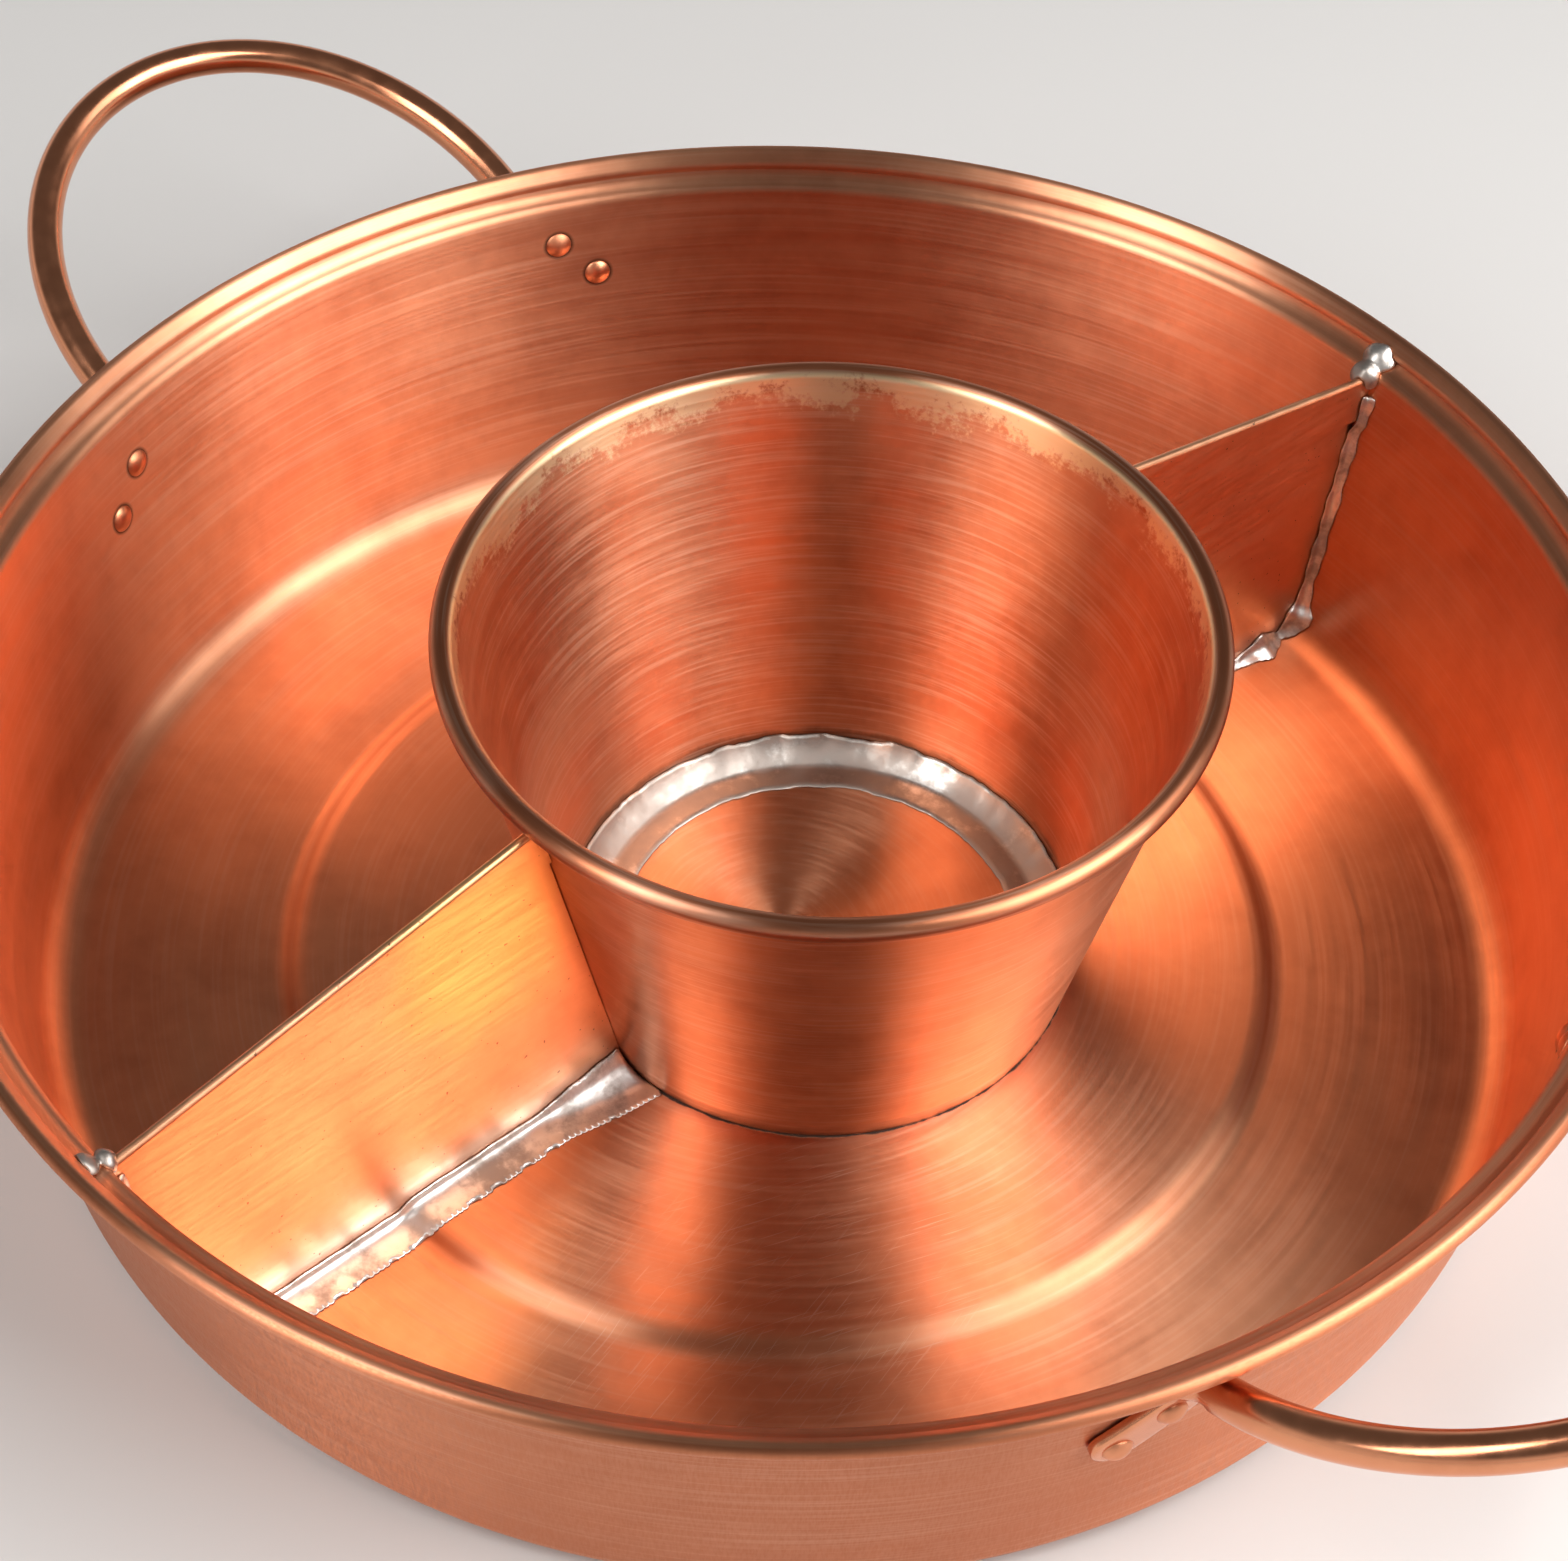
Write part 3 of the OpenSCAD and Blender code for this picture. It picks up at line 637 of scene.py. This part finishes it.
def pan_copper(name):
    """The pan: lathe-brushed inside, duller and hand-rubbed outside, with a dark line round the cup. Its
    outside and one stretch of its wall carry painted shade, and its brush marks and scratches painted
    highlights.
    """
    look = settings("finishes")
    mix = Mixer(name)
    here = mix.object_coordinates()
    outside = outside_mask(mix)
    radius, angle, z = mix.round_coordinates(tuple(axis_foot("centre_cup")))
    # Painted shade: the outside is mixed towards dark copper, standing in for darker surroundings in its
    # reflection
    base = mix.blend(mix.math("MULTIPLY", outside, 0.7), copper_base(mix), look.dark_copper_and_shade)
    # Painted shade: one stretch of the wall, from a little above the floor, is mixed towards dark copper
    dark = mix.ramp(mix.math("COSINE", mix.math("SUBTRACT", angle, SHADED_WALL_SIDE)), 0.4, 0.9, 0.0, 0.45)
    dark = mix.math("MULTIPLY", dark, mix.ramp(z, 5 * MM, 22 * MM))
    base = mix.blend(dark, base, look.dark_copper_and_shade)
    marks = 0.0
    # Painted highlight: the real scratches on the floor are mixed towards paler copper
    for turn, centre, reach in SCRATCHES:
        marks = mix.math("MAXIMUM", scratches(mix, turn, centre, reach), marks)
    marks = mix.math("MULTIPLY", marks, mix.ramp(z, 4 * MM, 6 * MM, 1.0, 0.0))
    base = mix.blend(mix.math("MULTIPLY", marks, 0.35), base, look.scratch_glint)
    normal = brushed(
        mix, base, (0, 0, 0), rough=0.35, anisotropy=0.92, pitch=0.9 * MM, stretch=2.2, marks=0.12
    )
    base = mix.shader.inputs["Base Color"].links[0].from_socket
    line = soot_line(mix, radius, z)
    base = mix.blend(line, base, look.soot)
    base = mix.blend(mix.math("MULTIPLY", rivet_head_rings(mix), 0.85), base, look.soot)
    mix.feed(mix.shader, "Base_Color", base)
    mix.feed(mix.shader, "Metallic", mix.math("SUBTRACT", 1.0, mix.math("MULTIPLY", line, 0.7)))
    rough = mix.shader.inputs["Roughness"].links[0].from_socket
    rubbed = mix.ramp(mix.noise(mix.turned(here, scale=(2400, 2400, 30)), 1.0, 3.0), 0.35, 0.65, 0.34, 0.44)
    rough = mix.add("ShaderNodeMix", {"data_type": "FLOAT"}, i0=outside, i2=rough, i3=rubbed)
    mix.feed(mix.shader, "Roughness", rough.outputs[0])
    dents = mix.noise(here, 22.0, 2.0)
    mix.feed(mix.shader, "Normal", mix.bump(dents, 0.5 * MM, 0.5, normal))
    return mix.material


def soot_line(mix, radius, z):
    """1 on a thin ragged line on the floor, round the cup's foot."""
    foot = settings("cup_sizes").foot_radius + settings("rivet_sizes").gap
    off = mix.math("ABSOLUTE", mix.math("SUBTRACT", radius, foot))
    ragged = mix.noise(mix.object_coordinates(), 160.0, 4.0, 0.6)
    off = mix.math("ADD", off, mix.math("MULTIPLY", ragged, 1.5 * MM))
    line = mix.ramp(off, 0.85 * MM, 1.2 * MM, 1.0, 0.0)
    return mix.math("MULTIPLY", line, mix.ramp(z, 4 * MM, 5 * MM, 1.0, 0.0))


def rivet_head_rings(mix):
    """1 on a ring close to each rivet's head, where the pan is mixed towards soot colour."""
    pan = Pan()
    here = mix.object_coordinates()
    head = settings("rivet_sizes").head / 2
    pressed = 0.0
    for _, azimuth, height in rivet_places(pan):
        away = mix.distance("DISTANCE", here, tuple(pan.wall_point(azimuth, height, 0)))
        pressed = mix.math("MAXIMUM", mix.ramp(away, head, head + 1 * MM, 1.0, 0.0), pressed)
    return pressed


def cup_copper(name):
    """The cup: coarse brush marks inside, and a rim whose inner side is wiped pale."""
    look = settings("finishes")
    centre = tuple(axis_foot("centre_cup"))
    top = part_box("centre_cup")[1].z
    mix = Mixer(name)
    base = copper_base(mix, 0.6)
    outside = outside_mask(mix)
    angle, z = mix.round_coordinates(centre)[1:]
    here = mix.object_coordinates()
    below = mix.math("SUBTRACT", top, z)
    blotch = mix.noise(here, 70.0, 5.0, 0.65)
    grain = mix.noise(here, 600.0, 4.0, 0.7)
    edge = mix.math("ADD", mix.math("MULTIPLY", blotch, 24 * MM), mix.math("MULTIPLY", grain, 14 * MM))
    worn = mix.ramp(mix.math("SUBTRACT", below, edge), -15.5 * MM, -11 * MM, 1.0, 0.0)
    back = mix.math("COSINE", mix.math("SUBTRACT", angle, WORN_SIDE))
    worn = mix.math("MULTIPLY", worn, mix.ramp(back, -0.9, 0.1, 0.35, 1.0))
    worn = mix.math("MULTIPLY", worn, mix.ramp(below, 0.3 * MM, 1 * MM))
    worn = mix.math("MULTIPLY", worn, mix.math("SUBTRACT", 1.0, outside))
    lip = mix.ramp(below, 3.6 * MM, 5.2 * MM, 1.0, 0.0)
    base = mix.blend(mix.math("MULTIPLY", lip, 0.75), base, look.dark_copper_and_shade)
    base = mix.blend(mix.math("MULTIPLY", worn, 0.9), base, look.pale_copper)
    burnt = mix.math("SUBTRACT", z, mix.math("MULTIPLY", blotch, 5 * MM))
    ring_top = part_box("cup_ring_solder")[1].z
    burnt = mix.ramp(burnt, ring_top - 2.2 * MM, ring_top - 0.2 * MM, 0.6, 0.0)
    burnt = mix.math("MULTIPLY", burnt, mix.math("SUBTRACT", 1.0, outside))
    base = mix.blend(burnt, base, look.soot)
    normal = brushed(
        mix, base, centre, rough=0.33, anisotropy=0.86, pitch=0.7 * MM, stretch=2.6, marks=0.24
    )
    mix.feed(normal.node, "Strength", mix.ramp(outside, 0.0, 1.0, 1.0, 0.15))
    mix.feed(mix.shader, "Normal", normal)
    return mix.material


def plate_copper(name):
    """Copper plate: heat-tinted gold by the soldering, hazed with tin along its foot."""
    look = settings("finishes")
    mix = Mixer(name)
    here = mix.object_coordinates()
    base = mix.blend(0.15, copper_base(mix, 0.5), look.pale_copper)
    cloud = mix.noise(here, 40.0, 4.0, 0.6)
    away = mix.distance("DISTANCE", here, look.heat_centre)
    away = mix.math("SUBTRACT", away, mix.math("MULTIPLY", cloud, 30 * MM))
    heat = mix.ramp(away, -5 * MM, 18 * MM, 1.0, 0.0)
    base = mix.blend(mix.math("MULTIPLY", heat, 0.6), base, look.gold)
    z = mix.add("ShaderNodeSeparateXYZ", Vector=here).outputs[2]
    haze = mix.math("SUBTRACT", z, mix.math("MULTIPLY", cloud, 9 * MM))
    haze = mix.ramp(haze, 1 * MM, 7 * MM, 1.0, 0.0)
    base = mix.blend(mix.math("MULTIPLY", haze, 0.3), base, look.tin)
    specks = mix.ramp(mix.noise(here, 900.0, 1.0), 0.74, 0.78)
    base = mix.blend(mix.math("MULTIPLY", specks, 0.7), base, look.soot)
    mix.feed(mix.shader, "Base_Color", base)
    mix.shader.inputs["Metallic"].default_value = 1
    streak = mix.noise(mix.turned(here, scale=(900, 50, 900)), 1.0, 3.0)
    mix.feed(mix.shader, "Roughness", mix.ramp(streak, 0.3, 0.7, 0.3, 0.4))
    mix.feed(mix.shader, "Normal", mix.bump(mix.noise(here, 25.0, 2.0), 0.5 * MM, 0.5))
    return mix.material


def rod_copper(name, smooth=0.18, worn=0.26):
    """Drawn copper rod, polished by hands. Its roughness runs from smooth to worn."""
    mix = Mixer(name)
    here = mix.object_coordinates()
    # Painted shade: the whole rod is mixed towards dark copper, standing in for darker surroundings in its
    # reflection
    base = mix.blend(0.3, copper_base(mix, 0.4, 30.0), settings("finishes").dark_copper_and_shade)
    mix.feed(mix.shader, "Base_Color", base)
    mix.shader.inputs["Metallic"].default_value = 1
    mix.feed(mix.shader, "Roughness", mix.ramp(mix.noise(here, 220.0, 4.0), 0.3, 0.7, smooth, worn))
    mix.feed(mix.shader, "Normal", mix.bump(mix.noise(here, 160.0, 3.0), 0.02 * MM, 0.3))
    return mix.material


def cast_tin(name, clean=0.44):
    """Solder as it set: satin, and greyed where a cloudy noise is above the level named clean."""
    look = settings("finishes")
    mix = Mixer(name)
    here = mix.object_coordinates()
    cloud = mix.noise(here, 90.0, 5.0, 0.65)
    base = mix.blend(mix.ramp(cloud, clean, clean + 0.2), look.tin, look.dull_tin)
    mix.feed(mix.shader, "Base_Color", base)
    mix.shader.inputs["Metallic"].default_value = 1
    mix.feed(mix.shader, "Roughness", mix.ramp(cloud, 0.35, 0.7, 0.34, 0.55))
    mix.feed(mix.shader, "Normal", mix.bump(mix.noise(here, 420.0, 4.0), 0.12 * MM, 0.5))
    return mix.material


def made_material(maker, name, *args):
    """A material, made once."""
    return bpy.data.materials.get(name) or maker(name, *args)


# Operators, one for each piece or group of like pieces


class HOTPOT_OT_pan(bpy.types.Operator):
    """Spin the pan's sheet with its raised disc, ledge and rolled rim"""

    bl_idname = "hotpot.pan"
    bl_label = "Pan"

    def execute(self, context):
        pan = Pan()
        bm = bmesh.new()
        spun(bm, pan.outline(), Vector((0, 0, 0)), pan.size.turns)
        material = made_material(pan_copper, "Pan copper")
        finish_piece("pan", bm, material, ["pan_body"])
        return {"FINISHED"}


class HOTPOT_OT_cup(bpy.types.Operator):
    """Spin the centre cup with its rolled rim"""

    bl_idname = "hotpot.cup"
    bl_label = "Centre cup"

    def execute(self, context):
        size = settings("cup_sizes")
        low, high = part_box("centre_cup")
        centre = axis_foot("centre_cup")
        radius = size.roll / 2
        roll = Vector((high.x - centre.x - radius, high.z - radius))
        foot = Vector((size.foot_radius - size.sheet, low.z))
        reach = foot - roll
        lean = math.acos(radius / reach.length)
        touch = math.atan2(reach.y, reach.x) - lean
        inner = filled_in([foot, roll + polar(radius, touch)], 5 * MM)
        outer = [p - polar(size.sheet, touch) for p in inner]
        outer = [p for p in outer if (p - roll).length > radius]
        under = math.atan2(outer[-1].y - roll.y, outer[-1].x - roll.x)
        outline = outer + arc(roll, radius, under, touch + 2 * math.pi, 44)[:-1] + inner[::-1]
        bm = bmesh.new()
        spun(bm, outline, centre, size.turns, closed=True)
        material = made_material(cup_copper, "Cup copper")
        finish_piece("cup", bm, material, ["centre_cup"])
        return {"FINISHED"}


class HOTPOT_OT_dividers(bpy.types.Operator):
    """Finish the two divider plates"""

    bl_idname = "hotpot.dividers"
    bl_label = "Dividers"

    def execute(self, context):
        material = made_material(plate_copper, "Plate copper")
        for node in ("front_divider", "back_divider"):
            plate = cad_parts[node]
            for slot in plate.material_slots:
                slot.material = material
        return {"FINISHED"}


def bent(value, power):
    """A power that keeps the sign."""
    return math.copysign(abs(value) ** power, value)


def station_ring(rows, i, side, count=32):
    """The ring of points round a handle at one station: round on the rod, squarish on the flat end."""
    point, width, thick, flatness, up = rows[i]
    ahead = rows[min(i + 1, len(rows) - 1)][0]
    behind = rows[max(i - 1, 0)][0]
    along = Vector((0, side, 0)) if i == 0 else (ahead - behind).normalized()
    up = (up - along * up.dot(along)).normalized()
    across = along.cross(up) * side
    power = 1 - 0.6 * flatness
    ring = []
    for k in range(count):
        a = 2 * math.pi * k / count
        aside = across * (width * bent(math.cos(a), power))
        ring.append(point + aside + up * (thick * bent(math.sin(a), power)))
    return ring


class HOTPOT_OT_handles(bpy.types.Operator):
    """Sweep the two loop handles with their flattened ends"""

    bl_idname = "hotpot.handles"
    bl_label = "Handles"

    def execute(self, context):
        pan = Pan()
        for name in ("left", "right"):
            loop = Loop(name, pan)
            left, right = loop.stations(-1), loop.stations(1)
            rings = [station_ring(left, i, -1) for i in range(len(left) - 1, 0, -1)]
            rings += [station_ring(right, i, 1) for i in range(len(right))]
            turn = Matrix.Rotation(loop.azimuth, 4, "Z")
            bm = bmesh.new()
            swept(bm, [[turn @ p for p in ring] for ring in rings])
            material = made_material(rod_copper, "Rod copper")
            finish_piece(name + "_loop", bm, material, [name + "_handle"])
        return {"FINISHED"}


def rivet_places(pan):
    """Node name, azimuth and height of every rivet."""
    size = settings("rivet_sizes")
    for name in ("left", "right"):
        loop = Loop(name, pan)
        for side in (-1, 1):
            end = "front" if (name == "left") == (side == 1) else "back"
            for place, distance in (("upper", size.first), ("lower", size.first + size.pitch)):
                azimuth, height = loop.ear_place(side, distance)
                yield f"{name}_{end}_{place}_rivet", loop.azimuth + azimuth, height


def dome(radius, height, start, flip):
    """Half outline of a domed head that stands on a seat."""
    ball = (radius**2 + height**2) / (2 * height)
    edge = math.asin(radius / ball)
    points = []
    for i in range(DOME_STEPS + 1):
        out, up = polar(ball, math.pi / 2 - edge * (1 - i / DOME_STEPS))
        points.append(Vector((out, start + flip * (height - ball + up))))
    return points


class HOTPOT_OT_rivets(bpy.types.Operator):
    """Spin the rivets and set them in the wall"""

    bl_idname = "hotpot.rivets"
    bl_label = "Rivets"

    def execute(self, context):
        pan = Pan()
        size = settings("rivet_sizes")
        seat = pan.size.sheet / 2 + size.gap
        outer_seat = seat + settings("handle_sizes").ear_thickness + size.gap
        material = made_material(rod_copper, "Rivet copper", 0.32, 0.5)
        half = size.head / 2
        for node, azimuth, height in rivet_places(pan):
            outline = dome(half, size.outer_height, outer_seat, 1)[::-1]
            outline += dome(half, size.inner_height, -seat, -1)
            bm = bmesh.new()
            spun(bm, outline, Vector((0, 0, 0)), 40)
            spot = Matrix.Rotation(azimuth, 4, "Z")
            spot @= Matrix.Translation((pan.wall_radius(height), 0, height))
            spot @= Matrix.Rotation(math.pi / 2 + pan.size.wall_lean, 4, "Y")
            bmesh.ops.transform(bm, matrix=spot, verts=bm.verts)
            finish_piece(node + "_head", bm, material, [node], sharp=math.radians(60))
        return {"FINISHED"}


def iron(bm, plate, ripple):
    """Take the ripple out of a seam's reach over the floor, from a plate whose side is at x = plate."""
    for vert in bm.verts:
        reach = math.hypot(vert.co.x, vert.co.y) / MM
        wave = sum(math.sin(math.radians(reach * turn)) for turn in RIPPLE_TURNS) / 2
        vert.co.x = plate + (vert.co.x - plate) / (1 + ripple * wave)


def melted(node, ease, lump, wave, ripple, voxel):
    """A copy of a CAD node's mesh, smoothed ease times and given lumps of a height and a wavelength."""
    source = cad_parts[node]
    bm = bmesh.new()
    bm.from_mesh(source.data)
    bmesh.ops.remove_doubles(bm, verts=bm.verts, dist=MERGE)
    if voxel:
        bm = remeshed(node, bm, voxel)
    else:
        iron(bm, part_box(node)[0].x, ripple)
        long = [e for e in bm.edges if e.calc_length() > 1.2 * MM]
        bmesh.ops.subdivide_edges(bm, edges=long, cuts=3, use_grid_fill=True)
        bmesh.ops.triangulate(bm, faces=bm.faces)
    for i in range(ease):
        bmesh.ops.smooth_vert(
            bm, verts=bm.verts, factor=0.5, use_axis_x=True, use_axis_y=True, use_axis_z=True
        )
    bm.normal_update()
    moves = [v.normal * (noise.noise(v.co / wave) * lump) for v in bm.verts]
    for vert, move in zip(bm.verts, moves):
        vert.co += move
    return bm


def remeshed(name, bm, voxel):
    """The same form with its pieces merged and its faces all of one size."""
    mesh = bpy.data.meshes.new(name)
    bm.to_mesh(mesh)
    bm.free()
    rough = bpy.data.objects.new(name + "_rough", mesh)
    bpy.context.scene.collection.objects.link(rough)
    melt = rough.modifiers.new("Melt", "REMESH")
    melt.mode = "VOXEL"
    melt.voxel_size = voxel
    seen = rough.evaluated_get(bpy.context.evaluated_depsgraph_get())
    made = bmesh.new()
    made.from_mesh(seen.to_mesh())
    seen.to_mesh_clear()
    bpy.data.objects.remove(rough)
    return made


class HOTPOT_OT_ring(bpy.types.Operator):
    """Spin the tin ring in the cup and make its edges uneven"""

    bl_idname = "hotpot.ring"
    bl_label = "Tin ring"

    def execute(self, context):
        size = settings("solder_sizes")
        low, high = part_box("cup_ring_solder")
        centre = axis_foot("cup_ring_solder")
        lean = math.atan2(high.x - centre.x - size.ring_root, high.z - low.z)
        root = Vector((size.ring_root, low.z))
        climb = Vector((high.x - centre.x, high.z))
        edge = root - Vector((size.ring_width, 0))
        foot = root - Vector((size.ring_foot, 0)) + Vector((0, size.ring_edge))
        hollow = root + (foot - root + climb - root) * size.hollow
        top = climb - Vector((size.ring_edge, 0))
        corner = edge + Vector((size.ring_edge, size.ring_edge))
        face = [edge, edge + Vector((0, size.ring_edge * 0.3))]
        face += filled_in([corner, foot], 1 * MM)
        face += [foot.lerp(hollow, t).lerp(hollow.lerp(top, t), t) for t in [i / 9 for i in range(1, 10)]]
        back = filled_in([climb, root], 1.5 * MM)
        base = filled_in([root, edge], 2.5 * MM)[1:-1]
        outline = face + back + base
        bm = bmesh.new()
        spun(bm, outline, centre, size.turns, closed=True)
        for vert in bm.verts:
            flat = Vector((vert.co.x - centre.x, vert.co.y - centre.y, 0))
            out = flat.normalized()
            reach = root.x - flat.length
            up = vert.co.z - low.z
            wave = noise.noise(out * 7) + 0.5 * noise.noise(out * 25)
            if up > size.ring_edge * 1.5:
                rise = wave * size.ring_rise * up / (high.z - low.z)
                vert.co += Vector((0, 0, rise)) + out * (rise * math.tan(lean))
            elif reach > size.ring_foot:
                share = (reach - size.ring_foot) / (size.ring_width - size.ring_foot)
                vert.co -= out * (wave * size.ring_spread * share)
        material = made_material(cast_tin, "Ring tin", 0.28)
        nodes = ["cup_ring_solder"]
        finish_piece("cup_ring_solder_cast", bm, material, nodes, sharp=math.radians(50))
        return {"FINISHED"}


class HOTPOT_OT_solder(bpy.types.Operator):
    """Melt the seams and drops into uneven cast tin"""

    bl_idname = "hotpot.solder"
    bl_label = "Solder"

    def execute(self, context):
        size = settings("solder_sizes")
        seam_tin = made_material(cast_tin, "Tin")
        # Smoothing passes, height and wavelength of the lumps, ripple to iron out, size of voxels
        for node, ease, lump, wave, ripple, voxel in (
            ("front_seam_solder", 2, size.seam_lump / 8, 12 * MM, size.ripple, 0),
            ("back_seam_solder", 4, size.seam_lump * 0.8, 4 * MM, 0, 0),
            ("front_rim_solder", 14, size.drop_lump, 3 * MM, 0, size.voxel),
            ("back_rim_solder", 14, size.drop_lump, 3 * MM, 0, size.voxel),
        ):
            material = made_material(cast_tin, "Dull tin", 0.33) if voxel else seam_tin
            bm = melted(node, ease, lump, wave, ripple, voxel)
            finish_piece(node + "_cast", bm, material, [node], sharp=math.radians(60))
        return {"FINISHED"}


class HOTPOT_OT_studio(bpy.types.Operator):
    """Set up the floor, the softboxes and the camera"""

    bl_idname = "hotpot.studio"
    bl_label = "Studio"

    def execute(self, context):
        size = settings("studio_sizes")
        bm = bmesh.new()
        bmesh.ops.create_grid(bm, x_segments=1, y_segments=1, size=FLOOR_REACH)
        mesh = bpy.data.meshes.new("floor")
        bm.to_mesh(mesh)
        bm.free()
        floor = bpy.data.objects.new("floor", mesh)
        context.scene.collection.objects.link(floor)
        mix = Mixer("Floor paper")
        mix.shader.inputs["Base Color"].default_value = (*size.floor, 1)
        mix.shader.inputs["Roughness"].default_value = 0.8
        away = mix.distance("LENGTH", mix.object_coordinates())
        mix.feed(mix.shader, "Alpha", mix.ramp(away, *FLOOR_FADE, 1.0, 0.0))
        mesh.materials.append(mix.material)
        self.softbox("Right softbox", (24, 45), (0.85, 1), size.side_light)
        self.softbox("Far softbox", (52, 45), (0.7, 0.9), size.side_light * size.far_share)
        self.softbox("Left softbox", (-94.6, 46), (0.45, 0.9), size.side_light)
        self.surroundings(context, size.world, size.horizon)
        self.camera(context, size.lens)
        context.scene.view_settings.view_transform = "Standard"
        return {"FINISHED"}

    def softbox(self, name, direction, extent, brightness):
        """A lamp that looks at the pot from an azimuth and an elevation in degrees."""
        azimuth, elevation = (math.radians(a) for a in direction)
        light = bpy.data.lights.new(name, "AREA")
        light.shape = "RECTANGLE"
        light.size, light.size_y = extent
        light.energy = brightness * light.size * light.size_y
        lamp = bpy.data.objects.new(name, light)
        bpy.context.scene.collection.objects.link(lamp)
        flat = polar(math.cos(elevation), azimuth)
        away = Vector((*flat, math.sin(elevation)))
        lamp.location = away * SOFTBOX_DISTANCE
        lamp.rotation_euler = away.to_track_quat("Z", "Y").to_euler()

    def surroundings(self, context, overhead, horizon):
        """A dim room above, and a pale one level with the floor and below it."""
        world = bpy.data.worlds.new("Studio")
        world.use_nodes = True
        tree = world.node_tree
        back = tree.nodes["Background"]
        back.inputs["Color"].default_value = (1, 0.98, 0.96, 1)
        look = tree.nodes.new("ShaderNodeTexCoord")
        parts = tree.nodes.new("ShaderNodeSeparateXYZ")
        fade = tree.nodes.new("ShaderNodeMapRange")
        fade.interpolation_type = "SMOOTHSTEP"
        for key, value in {"From Min": 0.05, "From Max": 0.4, "To Min": horizon, "To Max": overhead}.items():
            fade.inputs[key].default_value = value
        tree.links.new(look.outputs["Generated"], parts.inputs[0])
        tree.links.new(parts.outputs["Z"], fade.inputs["Value"])
        tree.links.new(fade.outputs[0], back.inputs["Strength"])
        context.scene.world = world

    def camera(self, context, lens):
        data = bpy.data.cameras.new("Camera")
        data.lens = lens
        data.sensor_width = 36
        data.clip_start = 0.01
        camera = bpy.data.objects.new("Camera", data)
        context.scene.collection.objects.link(camera)
        place = Matrix.Translation(CAMERA_PLACE)
        for turn, axis in CAMERA_TURNS:
            place @= Matrix.Rotation(math.radians(turn), 4, axis)
        camera.matrix_world = place
        context.scene.camera = camera


class HOTPOT_PT_panel(bpy.types.Panel):
    """Buttons that build the pot piece by piece"""

    bl_idname = "HOTPOT_PT_panel"
    bl_label = "Hot pot"
    bl_space_type = "VIEW_3D"
    bl_region_type = "UI"
    bl_category = "Hot pot"

    def draw(self, context):
        for operator in STEPS:
            self.layout.operator(operator.bl_idname)


GROUPS = {
    "pan_sizes": PanSizes,
    "cup_sizes": CupSizes,
    "handle_sizes": HandleSizes,
    "rivet_sizes": RivetSizes,
    "solder_sizes": SolderSizes,
    "finishes": Finishes,
    "studio_sizes": StudioSizes,
}
STEPS = (
    HOTPOT_OT_pan,
    HOTPOT_OT_cup,
    HOTPOT_OT_dividers,
    HOTPOT_OT_handles,
    HOTPOT_OT_rivets,
    HOTPOT_OT_ring,
    HOTPOT_OT_solder,
    HOTPOT_OT_studio,
)


def register():
    for group in (*GROUPS.values(), *STEPS, HOTPOT_PT_panel):
        bpy.utils.register_class(group)
    for name, group in GROUPS.items():
        setattr(bpy.types.Scene, name, PointerProperty(type=group))


def unregister():
    for name in GROUPS:
        delattr(bpy.types.Scene, name)
    for group in reversed((*GROUPS.values(), *STEPS, HOTPOT_PT_panel)):
        bpy.utils.unregister_class(group)


def main():
    register()
    for step in STEPS:
        group, name = step.bl_idname.split(".")
        getattr(getattr(bpy.ops, group), name)()


if __name__ == "__main__":
    main()
